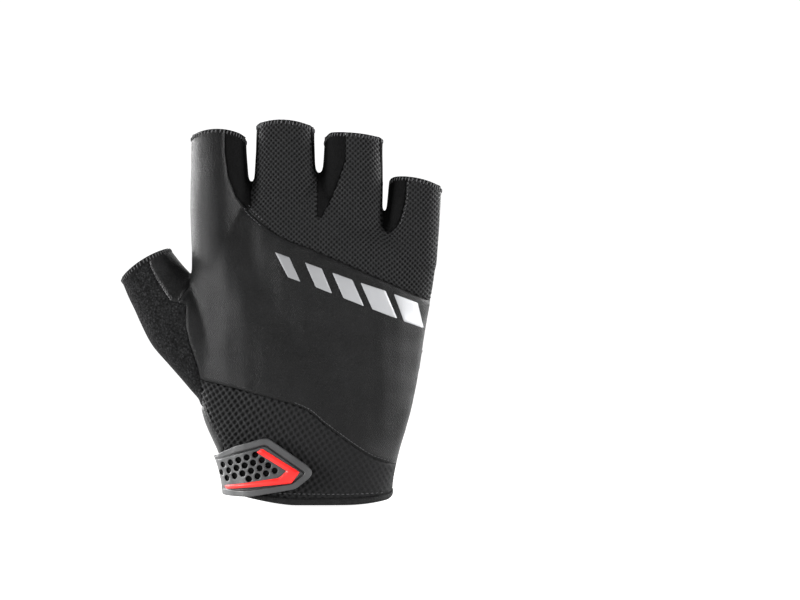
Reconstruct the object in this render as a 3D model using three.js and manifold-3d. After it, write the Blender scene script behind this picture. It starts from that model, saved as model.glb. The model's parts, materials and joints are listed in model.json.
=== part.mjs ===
import * as THREE from "three";
import { LoftGeometry } from "three/addons/geometries/LoftGeometry.js";
import { mergeVertices } from "three/addons/utils/BufferGeometryUtils.js";
import Module from "manifold-3d";

const wasm = await Module();
wasm.setup();

// A right-hand fingerless cycling glove with the form it has on a hand, fingers up. Millimetres:
// Z runs from the wrist edge to the finger ends, +Y faces the palm and -X is the thumb side.

// Driving sizes of the hand form, over the walls.
const PALM_WIDTH = 100; // across the finger roots
const KNUCKLE_HEIGHT = 100; // wrist edge to the seam over the knuckles
const PALM_DEPTH = 34; // back of the hand to the palm
const FINGER_WIDTH = 23;
const FINGER_DEPTH = 21.5;
const FINGER_CURL = 3.5; // how far a finger end bends towards the palm
const INDEX_LENGTH = 46.4; // from the knuckle seam to the finger's hem
const MIDDLE_LENGTH = 50.2;
const RING_LENGTH = 45.6;
const LITTLE_LENGTH = 27.8;
const THUMB_WIDTH = 23.3;
const THUMB_DEPTH = 22;
const THUMB_LENGTH = 57; // along its middle line, from inside the palm to its hem
const THUMB_LEAN = 33.4; // degrees away from the fingers
const END_CROWN = 1.4; // how far the middle of a finger's hem stands above its ends

// Cloth, leather and what is sewn on them.
const WALL = 1.8; // face cloth or leather with its lining
const SEAM_GAP = 0.3; // between pieces sewn edge to edge, and under a piece sewn on
const HEM_HEIGHT = 2.8; // binding round the wrist
const HEM_FOLD = 0.5; // how much thicker than the wall the binding is on each side
const GUSSET_WIDTH = 11; // of the strips between the fingers
const KNUCKLE_PAD = 1.3; // height of the padded fields at the finger roots
const GRIP_PAD = 2; // height of the padded band across the palm
const THUMB_PAD = 2.2; // height of the oval pad under the thumb
const GEL_HEIGHT = 1.8; // of the gloss inserts
const FILM = 0.4; // reflective film

// The closing strap.
const BAND_THICKNESS = 1;
const TAB_THICKNESS = 1.5;
const RIM_HEIGHT = 0.6;
const RIM_WIDTH = 2.3;
const HOLE_DIAMETER = 2.4;
const HOLE_PITCH = 3.6;
const HOLE_ROW_PITCH = 2.8;
const HOLE_ROW_SLOPE = 20; // degrees
const CHEVRON_HEIGHT = 0.7;

// How finely the rings are divided, and how far a cutting form reaches past what it cuts.
const PALM_SIDES = 30;
const FINGER_SIDES = 18;
const REACH = 6;
const FAR = 2 * PALM_WIDTH;

// A closed mesh as a solid that can be joined and cut.
function solidOf(geometry) {
  const bare = new THREE.BufferGeometry();
  bare.setAttribute("position", geometry.getAttribute("position"));
  bare.setIndex(geometry.index);
  const merged = mergeVertices(bare, 1e-4);
  return new wasm.Manifold(
    new wasm.Mesh({
      numProp: 3,
      vertProperties: new Float32Array(merged.attributes.position.array),
      triVerts: new Uint32Array(merged.index.array),
    }),
  );
}

function geometryOf(solid) {
  const mesh = solid.getMesh();
  const geometry = new THREE.BufferGeometry();
  geometry.setAttribute("position", new THREE.BufferAttribute(mesh.vertProperties, 3));
  geometry.setIndex(new THREE.BufferAttribute(mesh.triVerts, 1));
  const flat = geometry.toNonIndexed();
  flat.computeVertexNormals();
  return flat;
}

const loft = (sections) => solidOf(new LoftGeometry(sections, { capStart: true, capEnd: true }));

const unite = (solids) => solids.reduce((whole, next) => whole.add(next));

// A cut leaves crumbs where two seams meet: the piece is its largest body.
function largestBody(solid) {
  return solid.decompose().reduce((a, b) => (a.volume() > b.volume() ? a : b));
}

// A rounded ring point: superellipse powers keep the section fuller than an ellipse.
function roundedPoint(angle, fullness) {
  const power = 2 / fullness;
  const cos = Math.cos(angle);
  const sin = Math.sin(angle);
  return [Math.sign(cos) * Math.abs(cos) ** power, Math.sign(sin) * Math.abs(sin) ** power];
}

// The palm from the wrist edge to the webs between the fingers. Heights are shares of
// KNUCKLE_HEIGHT, the sides of PALM_WIDTH, and back, palm and hollow of PALM_DEPTH. Bend says how
// much of the web line's rise and fall a ring follows.
const PALM_ROWS = [
  { height: -0.06, thumbSide: -0.322, littleSide: 0.32, back: 0.55, palm: 0.56, hollow: 0, bend: 0 },
  { height: 0.0, thumbSide: -0.325, littleSide: 0.324, back: 0.55, palm: 0.56, hollow: 0, bend: 0 },
  { height: 0.1, thumbSide: -0.34, littleSide: 0.333, back: 0.54, palm: 0.56, hollow: 0, bend: 0 },
  { height: 0.2, thumbSide: -0.37, littleSide: 0.352, back: 0.52, palm: 0.57, hollow: 0.01, bend: 0 },
  { height: 0.34, thumbSide: -0.43, littleSide: 0.388, back: 0.49, palm: 0.57, hollow: 0.03, bend: 0 },
  { height: 0.5, thumbSide: -0.458, littleSide: 0.424, back: 0.47, palm: 0.55, hollow: 0.05, bend: 0 },
  { height: 0.66, thumbSide: -0.472, littleSide: 0.452, back: 0.46, palm: 0.52, hollow: 0.06, bend: 0 },
  { height: 0.82, thumbSide: -0.478, littleSide: 0.48, back: 0.45, palm: 0.48, hollow: 0.05, bend: 0.05 },
  { height: 0.98, thumbSide: -0.478, littleSide: 0.5, back: 0.42, palm: 0.43, hollow: 0.01, bend: 0.2 },
  { height: 1.09, thumbSide: -0.475, littleSide: 0.505, back: 0.36, palm: 0.37, hollow: 0, bend: 0.5 },
  { height: 1.17, thumbSide: -0.465, littleSide: 0.495, back: 0.26, palm: 0.27, hollow: 0, bend: 0.8 },
  { height: 1.24, thumbSide: -0.44, littleSide: 0.47, back: 0.1, palm: 0.1, hollow: 0, bend: 1 },
];
const PALM_FULLNESS = 2.5;

// The web line's rise over its mean height, as shares of KNUCKLE_HEIGHT, along the palm's width.
const WEB_LINE = new THREE.SplineCurve([
  new THREE.Vector2(-0.5, -0.05),
  new THREE.Vector2(-0.236, 0.0),
  new THREE.Vector2(0.028, 0.055),
  new THREE.Vector2(0.289, -0.085),
  new THREE.Vector2(0.52, -0.12),
]);

function webRise(share) {
  const first = WEB_LINE.points[0].x;
  const last = WEB_LINE.points.at(-1).x;
  const clamped = THREE.MathUtils.clamp(share, first, last);
  const spans = WEB_LINE.points.length - 1;
  const span = WEB_LINE.points.findIndex((point, i) => i < spans && clamped <= WEB_LINE.points[i + 1].x);
  const from = WEB_LINE.points[span];
  const to = WEB_LINE.points[span + 1];
  return WEB_LINE.getPoint((span + (clamped - from.x) / (to.x - from.x)) / spans).y;
}

// Skin moves the whole form out or in, so that walls and sewn-on pieces follow one shape.
function palmForm(skin) {
  const sections = PALM_ROWS.map((row) => {
    const left = row.thumbSide * PALM_WIDTH - skin;
    const right = row.littleSide * PALM_WIDTH + skin;
    const back = Math.max(row.back * PALM_DEPTH + skin, SEAM_GAP);
    const palm = Math.max(row.palm * PALM_DEPTH + skin, SEAM_GAP);
    return Array.from({ length: PALM_SIDES }, (_, side) => {
      const [cos, sin] = roundedPoint((2 * Math.PI * side) / PALM_SIDES, PALM_FULLNESS);
      const x = (left + right) / 2 + ((right - left) / 2) * cos;
      const dent = sin > 0 ? row.hollow * PALM_DEPTH * (1 - cos * cos) ** 2 : 0;
      const y = (sin > 0 ? palm : back) * sin - dent;
      const rise = row.bend * webRise(x / PALM_WIDTH);
      return new THREE.Vector3(x, y, (row.height + rise) * KNUCKLE_HEIGHT + row.bend * skin);
    });
  });
  return loft(sections);
}

// The half fingers. Places are shares of PALM_WIDTH and girth is a share of FINGER_WIDTH; slope is
// how the hem falls towards the little finger.
const FINGERS = [
  { name: "index", rootX: -0.352, endX: -0.372, girth: 0.952, length: INDEX_LENGTH, slope: -0.07 },
  { name: "middle", rootX: -0.105, endX: -0.103, girth: 1, length: MIDDLE_LENGTH, slope: -0.085 },
  { name: "ring", rootX: 0.155, endX: 0.174, girth: 1.01, length: RING_LENGTH, slope: -0.04 },
  { name: "little", rootX: 0.386, endX: 0.418, girth: 0.92, length: LITTLE_LENGTH, slope: -0.12 },
];
const FINGER_ROOT = 0.94; // share of KNUCKLE_HEIGHT where a finger's tube starts inside the palm
const FINGER_ROWS = [
  { along: 0, flare: 1.12 },
  { along: 0.35, flare: 1.12 },
  { along: 0.6, flare: 1.09 },
  { along: 0.82, flare: 1.03 },
  { along: 1, flare: 1 },
];
const TUBE_FULLNESS = 2.2;

function tubeRing(centre, across, halfWidth, halfDepth, lift) {
  return Array.from({ length: FINGER_SIDES }, (_, side) => {
    const [cos, sin] = roundedPoint((2 * Math.PI * side) / FINGER_SIDES, TUBE_FULLNESS);
    const point = centre.clone().addScaledVector(across, halfWidth * cos);
    point.y += halfDepth * sin;
    return point.add(lift(cos, sin));
  });
}

function fingerForm(finger, skin, past) {
  const rootZ = FINGER_ROOT * KNUCKLE_HEIGHT;
  const endZ = KNUCKLE_HEIGHT + finger.length;
  const sections = FINGER_ROWS.map(({ along, flare }) => {
    const centre = new THREE.Vector3(
      THREE.MathUtils.lerp(finger.rootX, finger.endX, along) * PALM_WIDTH,
      FINGER_CURL * along ** 2,
      THREE.MathUtils.lerp(rootZ, endZ, along),
    );
    const halfWidth = (FINGER_WIDTH * finger.girth * flare) / 2 + skin;
    const halfDepth = (FINGER_DEPTH * finger.girth * (1 + flare)) / 4 + skin;
    const lift = (cos, sin) =>
      new THREE.Vector3(0, 0, along ** 6 * (finger.slope * halfWidth * cos + END_CROWN * sin ** 2));
    return tubeRing(centre, new THREE.Vector3(1, 0, 0), halfWidth, halfDepth, lift);
  });
  if (past) sections.push(sections.at(-1).map((p) => p.clone().setZ(p.z + past)));
  return loft(sections);
}

// The thumb, from inside the palm to its hem. Along runs back from the hem as a share of
// THUMB_LENGTH, width and depth are shares of the thumb's own, and y of PALM_DEPTH.
const THUMB_END = { x: -0.67, y: 0.2, z: 0.952 }; // shares of PALM_WIDTH, PALM_DEPTH, KNUCKLE_HEIGHT
const THUMB_ROWS = [
  { along: 1, width: 1, depth: 0.8, y: 0.06 },
  { along: 0.84, width: 1.1, depth: 1.08, y: 0.08 },
  { along: 0.69, width: 1.2, depth: 1.24, y: 0.1 },
  { along: 0.51, width: 1.31, depth: 1.3, y: 0.12 },
  { along: 0.33, width: 1.24, depth: 1.2, y: 0.15 },
  { along: 0.19, width: 1.13, depth: 1.08, y: 0.17 },
  { along: 0, width: 1, depth: 1, y: THUMB_END.y },
];

function thumbForm(skin, past) {
  const lean = THREE.MathUtils.degToRad(THUMB_LEAN);
  const outward = new THREE.Vector3(-Math.sin(lean), 0, Math.cos(lean));
  const across = new THREE.Vector3(Math.cos(lean), 0, Math.sin(lean));
  const end = new THREE.Vector3(THUMB_END.x * PALM_WIDTH, 0, THUMB_END.z * KNUCKLE_HEIGHT);
  const sections = THUMB_ROWS.map(({ along, width, depth, y }) => {
    const centre = end.clone().addScaledVector(outward, -along * THUMB_LENGTH);
    centre.y = y * PALM_DEPTH;
    const crown = (cos, sin) => outward.clone().multiplyScalar(along ? 0 : END_CROWN * sin ** 2);
    const halfWidth = (THUMB_WIDTH * width) / 2 + skin;
    return tubeRing(centre, across, halfWidth, (THUMB_DEPTH * depth) / 2 + skin, crown);
  });
  if (past) {
    const beyond = sections.at(-1).map((p) => p.clone().addScaledVector(outward, past));
    sections.push(beyond);
  }
  return loft(sections);
}

// The mound at the thumb's root: place and radii as shares of PALM_WIDTH, PALM_DEPTH and
// KNUCKLE_HEIGHT, leaning with the thumb.
const MOUND = { x: -0.31, y: 0.2, z: 0.5, width: 0.155, depth: 0.42, height: 0.26 };
const MOUND_LEAN = 0.6; // share of THUMB_LEAN

function moundForm(skin) {
  const sphere = new THREE.SphereGeometry(1, FINGER_SIDES, FINGER_SIDES / 2);
  sphere.rotateX(Math.PI / 2);
  sphere.scale(
    MOUND.width * PALM_WIDTH + skin,
    MOUND.depth * PALM_DEPTH + skin,
    MOUND.height * KNUCKLE_HEIGHT + skin,
  );
  sphere.rotateY(-THREE.MathUtils.degToRad(MOUND_LEAN * THUMB_LEAN));
  sphere.translate(MOUND.x * PALM_WIDTH, MOUND.y * PALM_DEPTH, MOUND.z * KNUCKLE_HEIGHT);
  return solidOf(sphere);
}

function handForm(skin, past = 0) {
  return unite([
    palmForm(skin),
    ...FINGERS.map((finger) => fingerForm(finger, skin, past)),
    thumbForm(skin, past),
    moundForm(skin),
  ]);
}

// One form for each skin, made once.
const forms = new Map();
function formAt(skin) {
  if (!forms.has(skin)) forms.set(skin, handForm(skin));
  return forms.get(skin);
}

// Outlines are drawn in the X-Z plane in hundredths of PALM_WIDTH and KNUCKLE_HEIGHT.
const outlineOf = (points) =>
  points.map(([x, z]) => new THREE.Vector2((x * PALM_WIDTH) / 100, (z * KNUCKLE_HEIGHT) / 100));

// Moves each edge of a closed outline outwards by a distance.
function spread(outline, distance) {
  const turn = THREE.ShapeUtils.isClockWise(outline) ? -1 : 1;
  const count = outline.length;
  return outline.map((point, i) => {
    const before = point.clone().sub(outline[(i + count - 1) % count]).normalize();
    const after = outline[(i + 1) % count].clone().sub(point).normalize();
    const normals = [before, after].map((d) => new THREE.Vector2(d.y, -d.x).multiplyScalar(turn));
    const bisector = normals[0].clone().add(normals[1]).normalize();
    return point.clone().addScaledVector(bisector, distance / Math.max(bisector.dot(normals[0]), 0.4));
  });
}

// Everything inside an outline, from one Y to another.
function block(outline, fromY, toY) {
  const depth = toY - fromY;
  const geometry = new THREE.ExtrudeGeometry(new THREE.Shape(outline), { depth, bevelEnabled: false });
  geometry.rotateX(Math.PI / 2);
  geometry.translate(0, toY, 0);
  return solidOf(geometry);
}

const rectangle = (left, low, right, high) => [
  new THREE.Vector2(left, low),
  new THREE.Vector2(right, low),
  new THREE.Vector2(right, high),
  new THREE.Vector2(left, high),
];

const LOOKS = {
  lycra: { color: "#17181b", roughness: 0.62, metalness: 0 },
  mesh: { color: "#1b1c1f", roughness: 0.75, metalness: 0 },
  terry: { color: "#131315", roughness: 0.95, metalness: 0 },
  leather: { color: "#1d1d1f", roughness: 0.5, metalness: 0 },
  binding: { color: "#101012", roughness: 0.8, metalness: 0 },
  gusset: { color: "#0e0e10", roughness: 0.85, metalness: 0 },
  film: { color: "#d4d6d9", roughness: 0.35, metalness: 0.4 },
  rubber: { color: "#3a3b3e", roughness: 0.45, metalness: 0.1 },
  redRubber: { color: "#d2201c", roughness: 0.4, metalness: 0 },
  redGel: { color: "#f01408", roughness: 0.12, metalness: 0 },
  blackGel: { color: "#050506", roughness: 0.08, metalness: 0 },
};

const glove = new THREE.Group();

function addPiece(name, look, solid) {
  const material = new THREE.MeshStandardMaterial(LOOKS[look]);
  const mesh = new THREE.Mesh(geometryOf(largestBody(solid)), material);
  mesh.name = name;
  glove.add(mesh);
}

// The wall of the whole glove above the binding, from which each panel takes its part.
const aboveHem = block(rectangle(-FAR, HEM_HEIGHT + SEAM_GAP, FAR, FAR), -FAR, FAR);
let uncut = formAt(0).subtract(handForm(-WALL, REACH)).intersect(aboveHem);

// Takes the part of the uncut wall inside an outline, with half the seam's gap on each side.
function addPanel(name, look, outline, fromY, toY) {
  const half = SEAM_GAP / 2;
  addPiece(name, look, uncut.intersect(block(spread(outline, -half), fromY + half, toY - half)));
  uncut = uncut.subtract(block(spread(outline, half), fromY - half, toY + half));
}

// Seams, from the thumb side to the little finger's. What lies outside the glove is only far off.
const OUT = 200; // in hundredths, beyond every edge
const SIDE = -48.4; // just outside the index finger's edge
const THUMB_SIDE_SEAM = [
  [-49.2, 79.3], [-49.3, 71.5], [-47.7, 63.2], [-44.9, 54], [-43.6, 45], [-43.2, 38.3],
];
const THUMB_FOLD = [[-66, 112], [-64.6, 97.2], [-62.4, 91.2], [-58.7, 84.8], [-55.5, 80.5]];
const THUMB_ROOT = [[SIDE, 86], [-51.5, 82], [-54, 75], [-56, 68], [-61, 60]];
const CROTCH_ARC = [[-38.5, 94.6], [-38.5, 101.2], [-41.7, 104.4], [SIDE, 106.5]];
const CUFF_SIDE_SEAM = [[-34.2, 3], [-34.8, 21.4], [-38.4, 30], [-43.2, 41.2]];
const CUFF_SEAM = [
  [-44.4, 49.2], [-30.6, 46], [-16.2, 42.4], [-2, 37.8], [7.3, 30.6], [23.4, 19.3], [34, 15.5],
];
const KNUCKLE_SEAM = [
  [-23.6, OUT], [-23.6, 125.6], [-25.6, 118.2], [-22.6, 114.3], [-11.6, 105.8], [3.7, 99.6],
  [46.6, 80.8],
];
const PALM_SEAM = [[OUT, 76], [49.3, 78.6], [25.8, 85.1], [9.7, 89.4], [-6.4, 91.5], [-22.5, 93.1]];
const MOUND_SEAM = [
  [-40.1, 86.2], [-33.1, 81.9], [-23.5, 73.3], [-17.1, 65.8], [-13.4, 57.3], [-11.2, 46.5],
  [-11.7, 38], [-16, 30.5], [-23.5, 21.9], [-28.9, 16.5], [-34.2, -OUT],
];
const THUMB_SEAM_DEPTH = 0.42; // share of PALM_DEPTH where the knit meets the leather on the palm

const thumbBack = [...THUMB_SIDE_SEAM, [-OUT, 38.3], [-OUT, 112], ...THUMB_FOLD];
addPanel("thumb_back", "terry", outlineOf(thumbBack), -FAR, THUMB_SEAM_DEPTH * PALM_DEPTH);
const thumbFront = [[SIDE, 112], ...THUMB_ROOT, [-OUT, 40], [-OUT, 112]];
addPanel("thumb_leather", "leather", outlineOf(thumbFront), -FAR, FAR);
const crotch = [...CROTCH_ARC, [-OUT, 108], [-OUT, 86], [-40.1, 86.2]];
addPanel("crotch_gusset", "leather", outlineOf(crotch), 0, FAR);

// The strips between the fingers run from one finger's middle line to the next one's.
FINGERS.slice(1).forEach((finger, i) => {
  const before = FINGERS[i];
  const [left, right] = [before, finger].map((f) => ((f.rootX + f.endX) / 2) * PALM_WIDTH);
  const strip = rectangle(left, FINGER_ROOT * KNUCKLE_HEIGHT, right, FAR);
  const name = "gusset_" + before.name + "_" + finger.name;
  addPanel(name, "gusset", strip, -GUSSET_WIDTH / 2, GUSSET_WIDTH / 2);
});

const cuff = [...CUFF_SEAM, [OUT, 14.5], [OUT, -OUT], [-34.2, -OUT], ...CUFF_SIDE_SEAM];
addPanel("cuff_mesh", "mesh", outlineOf(cuff), -FAR, 0);
const knuckles = [...KNUCKLE_SEAM, [OUT, 60], [OUT, OUT]];
addPanel("knuckle_mesh", "mesh", outlineOf(knuckles), -FAR, 0);
const back = [...CUFF_SEAM, [OUT, 14.5], [OUT, OUT], [-OUT, OUT], [-OUT, 49.2]];
addPanel("back_panel", "lycra", outlineOf(back), -FAR, 0);
const upperPalm = [...PALM_SEAM, ...CROTCH_ARC, [-OUT, 108], [-OUT, OUT], [OUT, OUT]];
addPanel("upper_palm", "leather", outlineOf(upperPalm), 0, FAR);
const mound = [...MOUND_SEAM, [-OUT, -OUT], [-OUT, 88], [SIDE, 86]];
addPanel("thenar_panel", "leather", outlineOf(mound), -FAR, FAR);
addPiece("heel_palm", "leather", uncut);

// The binding wraps both faces of the wall at the wrist.
const wristBand = block(rectangle(-FAR, 0, FAR, HEM_HEIGHT), -FAR, FAR);
const binding = palmForm(HEM_FOLD).subtract(palmForm(-WALL - HEM_FOLD)).intersect(wristBand);
addPiece("cuff_hem", "binding", binding);

// A layer of the hand form inside an outline, from one height over the wall to another.
function layer(outline, low, high, fromY, toY) {
  return formAt(high).subtract(formAt(low)).intersect(block(outline, fromY, toY));
}

// Pads on the palm.
const PADS = [
  {
    name: "knuckle_pad_index",
    height: KNUCKLE_PAD,
    outline: [[-34.2, 137], [-37, 138.6], [-40, 137], [-41.5, 132], [-39.6, 117.2], [-31.4, 116.4]],
  },
  {
    name: "knuckle_pad_middle",
    height: KNUCKLE_PAD,
    outline: [[-8, 114], [-7.4, 128], [-10, 130.6], [-14, 130], [-21, 115.6]],
  },
  {
    name: "knuckle_pad_ring",
    height: KNUCKLE_PAD,
    outline: [[19, 110.8], [17.2, 121.5], [12.4, 126], [7, 124], [1.6, 112.2]],
  },
  {
    name: "knuckle_pad_little",
    height: KNUCKLE_PAD,
    outline: [[43.2, 107], [42.4, 117.6], [38.5, 119.6], [34.9, 117.4], [28.6, 109.6]],
  },
  {
    name: "grip_band",
    height: GRIP_PAD,
    outline: [
      [43.4, 95], [43.8, 103.9], [25.8, 107.6], [0, 109.4], [-17.1, 112.3], [-35, 114.4],
      [-36.4, 110.6], [-34.2, 107.6], [-23.5, 105.2], [-6.4, 100.5], [15, 97.8],
    ],
  },
  {
    name: "thumb_pad",
    height: THUMB_PAD,
    outline: [
      [-38, 78.4], [-27.8, 71.7], [-20.8, 60.7], [-18.6, 49], [-20, 39.2], [-24.8, 33.8], [-31, 33.6],
      [-36, 37.5], [-42.6, 46.6], [-48.4, 56.4], [-50, 62.5], [-48.3, 70.4], [-43.4, 77.4],
    ],
  },
];
PADS.forEach(({ name, height, outline }) => {
  addPiece(name, "leather", layer(outlineOf(outline), SEAM_GAP, SEAM_GAP + height, 0, FAR));
});

// The gloss inserts at the heel of the hand.
const RED_GEL = [
  [39.6, 65], [42.4, 62.4], [41.2, 49.6], [38.8, 47.2], [2.6, 36.9], [0, 39.6], [2, 48.2], [4.4, 50],
];
const BLACK_GEL = [
  [38.6, 39.6], [37.6, 32.8], [33, 25.6], [22, 22.4], [-0.8, 20.3], [-4.2, 22.3], [-3.6, 27.6], [-1.4, 29.8],
  [22, 34.4], [34.5, 39.2],
];
const gelFace = SEAM_GAP + GEL_HEIGHT;
addPiece("gel_insert_red", "redGel", layer(outlineOf(RED_GEL), SEAM_GAP, gelFace, 0, FAR));
addPiece("gel_insert_black", "blackGel", layer(outlineOf(BLACK_GEL), SEAM_GAP, gelFace, 0, FAR));

// Slanted bars of reflective film, from the narrow one to the wide one.
const BARS = [
  [[-13.8, 99.7], [-8.1, 97.6], [-3.7, 88], [-8.6, 89.8]],
  [[-1.8, 95.6], [4.7, 93.2], [8.8, 83.4], [2.4, 85.9]],
  [[8.9, 91.6], [16.7, 88.8], [21.4, 78.4], [13.4, 81.6]],
  [[20.2, 87.6], [29.9, 84.4], [34.5, 73.6], [24.8, 77.2]],
  [[33.4, 83.1], [42.6, 79.7], [45, 69.8], [37.6, 72.4]],
];
BARS.forEach((outline, i) => {
  const film = layer(outlineOf(outline), SEAM_GAP, SEAM_GAP + FILM, -FAR, 0);
  addPiece("reflective_bar_" + (i + 1), "film", film);
});

// The closing strap lies round the thumb side of the wrist, and its tab lies on its end.
const wristForms = new Map();
function wristLayer(outline, low, high, fromY, toY) {
  const [inside, outside] = [low, high].map((skin) => {
    if (!wristForms.has(skin)) wristForms.set(skin, palmForm(skin));
    return wristForms.get(skin);
  });
  return outside.subtract(inside).intersect(block(outline, fromY, toY));
}

const BAND_PALM = [[-24, 4.4], [-24, 15.6], [-29, 19], [-OUT, 19.6], [-OUT, 3.6]];
const BAND_BACK = [[-6, 9], [-7, 15], [-20, 20.5], [-OUT, 18.5], [-OUT, 3.6], [-24, 5.4]];
const bandTop = SEAM_GAP + BAND_THICKNESS;
const bandOnPalm = wristLayer(outlineOf(BAND_PALM), SEAM_GAP, bandTop, -SEAM_GAP, FAR);
const bandOnBack = wristLayer(outlineOf(BAND_BACK), SEAM_GAP, bandTop, -FAR, SEAM_GAP);
addPiece("strap_band", "binding", bandOnPalm.add(bandOnBack));

const TAB = [
  [-OUT, 3.4], [-23.4, 3.4], [-5.2, 6.7], [0.7, 11.5], [1.2, 13.6], [-0.9, 16], [-16.2, 26.4], [-18.4, 26.3],
  [-29.5, 23.2], [-37.7, 20], [-OUT, 18.2],
];
const TAB_WRAP = 0.12; // share of PALM_DEPTH that the tab reaches round to the palm side
const tabBase = bandTop + SEAM_GAP;
const tabFace = tabBase + TAB_THICKNESS;
const tabOutline = outlineOf(TAB);
const tabField = spread(tabOutline, -RIM_WIDTH);
const tabReach = TAB_WRAP * PALM_DEPTH;
const plate = wristLayer(tabOutline, tabBase, tabFace, -FAR, tabReach);
const raised = wristLayer(tabOutline, tabBase, tabFace + RIM_HEIGHT, -FAR, tabReach);
const rim = raised.subtract(block(tabField, -FAR, 0));

// Round holes in rows between the arrow's arms, each row half a pitch from the next.
const HOLE_FIELD = outlineOf([
  [-35.8, 8.6], [-14, 11.8], [-11.4, 13.4], [-20.6, 20], [-27, 19.2], [-35.4, 16.4],
]);
const HOLE_ROWS = 5;
const HOLE_SIDES = 8;

function isInside(outline, point) {
  return outline.reduce((inside, a, i) => {
    const b = outline[(i + 1) % outline.length];
    const crosses = a.y > point.y !== b.y > point.y;
    return crosses && point.x < a.x + ((point.y - a.y) / (b.y - a.y)) * (b.x - a.x) ? !inside : inside;
  }, false);
}

function circleAt(place, radius) {
  return Array.from({ length: HOLE_SIDES }, (_, side) => {
    const angle = (2 * Math.PI * side) / HOLE_SIDES;
    return new THREE.Vector2(place.x + radius * Math.cos(angle), place.y + radius * Math.sin(angle));
  });
}

const fieldCentre = new THREE.Box2().setFromPoints(HOLE_FIELD).getCenter(new THREE.Vector2());
const holeSlope = THREE.MathUtils.degToRad(HOLE_ROW_SLOPE);
const drills = [];
for (let row = -HOLE_ROWS; row <= HOLE_ROWS; row++) {
  for (let step = -HOLE_ROWS; step <= HOLE_ROWS; step++) {
    const place = new THREE.Vector2((step + (row % 2 ? 0.5 : 0)) * HOLE_PITCH, row * HOLE_ROW_PITCH);
    place.rotateAround(new THREE.Vector2(), holeSlope).add(fieldCentre);
    if (isInside(HOLE_FIELD, place)) drills.push(block(circleAt(place, HOLE_DIAMETER / 2), -FAR, 0));
  }
}
addPiece("strap_tab", "rubber", plate.add(rim).subtract(unite(drills)));

const CHEVRON = [
  [-18.6, 22.2], [-3.9, 13.3], [-7, 8.9], [-34.1, 6], [-34.6, 7.3], [-12, 11], [-8.9, 13.7], [-20.8, 21],
];
const chevronBase = tabFace + SEAM_GAP;
const chevron = wristLayer(outlineOf(CHEVRON), chevronBase, chevronBase + CHEVRON_HEIGHT, -FAR, 0);
addPiece("tab_chevron", "redRubber", chevron);

export default glove;
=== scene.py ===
# %% [markdown]
# # A half-finger cycling glove
#
# This lesson dresses a right-hand cycling glove that stands as it does on a hand, fingers up.
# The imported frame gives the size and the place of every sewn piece. Each piece is made again
# here with its true surface: stretch cloth, mesh, terry, leather, rubber and gel.
# Lengths are worked out in millimetres and every finished mesh is brought to metres.

# %% The frame
import json
import math

import bmesh
import bpy
import numpy as np
from mathutils import Matrix, Vector
from mathutils.bvhtree import BVHTree
from mathutils.kdtree import KDTree

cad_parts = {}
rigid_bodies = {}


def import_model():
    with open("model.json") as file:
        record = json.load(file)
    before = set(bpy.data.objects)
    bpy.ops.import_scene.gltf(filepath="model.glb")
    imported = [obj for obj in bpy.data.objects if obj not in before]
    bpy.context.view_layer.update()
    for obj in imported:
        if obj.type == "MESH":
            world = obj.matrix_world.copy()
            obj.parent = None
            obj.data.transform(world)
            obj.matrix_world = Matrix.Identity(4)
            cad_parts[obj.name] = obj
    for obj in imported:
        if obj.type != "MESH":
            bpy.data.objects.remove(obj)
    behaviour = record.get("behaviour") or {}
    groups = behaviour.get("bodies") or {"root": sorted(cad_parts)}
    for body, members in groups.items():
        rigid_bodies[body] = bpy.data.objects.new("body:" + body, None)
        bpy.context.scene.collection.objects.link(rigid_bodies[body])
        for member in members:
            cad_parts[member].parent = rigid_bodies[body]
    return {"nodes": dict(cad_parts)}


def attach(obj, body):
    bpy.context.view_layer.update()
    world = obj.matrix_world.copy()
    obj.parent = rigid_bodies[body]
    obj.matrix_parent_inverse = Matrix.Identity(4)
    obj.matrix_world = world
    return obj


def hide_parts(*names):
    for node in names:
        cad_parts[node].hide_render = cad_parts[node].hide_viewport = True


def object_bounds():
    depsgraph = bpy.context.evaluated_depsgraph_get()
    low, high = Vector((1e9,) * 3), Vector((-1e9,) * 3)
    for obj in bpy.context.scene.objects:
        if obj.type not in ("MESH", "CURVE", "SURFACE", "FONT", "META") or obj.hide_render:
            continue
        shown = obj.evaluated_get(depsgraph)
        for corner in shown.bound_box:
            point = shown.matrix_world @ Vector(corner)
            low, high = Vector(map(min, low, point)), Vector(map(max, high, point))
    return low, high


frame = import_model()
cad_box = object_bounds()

MM = 0.001
box_mm = [[round(value / MM, 1) for value in corner] for corner in cad_box]
print("frame:", len(frame["nodes"]), "nodes, box", box_mm)

# %% [markdown]
# ## Camera, floor and light
#
# A product picture is taken with a long lens from straight in front, so that near and far parts
# keep one scale. The lens is worked out from the width that the picture takes in at the glove.
# The floor is a very wide plate whose rim curves up, spun in one go, so no horizon shows from
# any side.

# %% Camera
FRAME_WIDTH = 320  # what the picture takes in at the glove
FRAME_CENTRE = (35.6, 80.8)  # X and Z at the middle of the picture
CAMERA_DISTANCE = 1100
SENSOR = 36

camera_data = bpy.data.cameras.new("camera")
camera_data.sensor_width = SENSOR
camera_data.lens = SENSOR * CAMERA_DISTANCE / FRAME_WIDTH
camera = bpy.data.objects.new("camera", camera_data)
camera.location = Vector((FRAME_CENTRE[0], -CAMERA_DISTANCE, FRAME_CENTRE[1])) * MM
camera.rotation_euler = (math.radians(90), 0, 0)
bpy.context.scene.collection.objects.link(camera)
bpy.context.scene.camera = camera
print("lens", round(camera_data.lens, 1), "mm")

# %% Floor
FLOOR_RADIUS = 1300
FLOOR_CURVE = 900
FLOOR_DROP = 1


def link(mesh, name):
    made = bpy.data.objects.new(name, mesh)
    bpy.context.scene.collection.objects.link(made)
    return made


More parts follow.
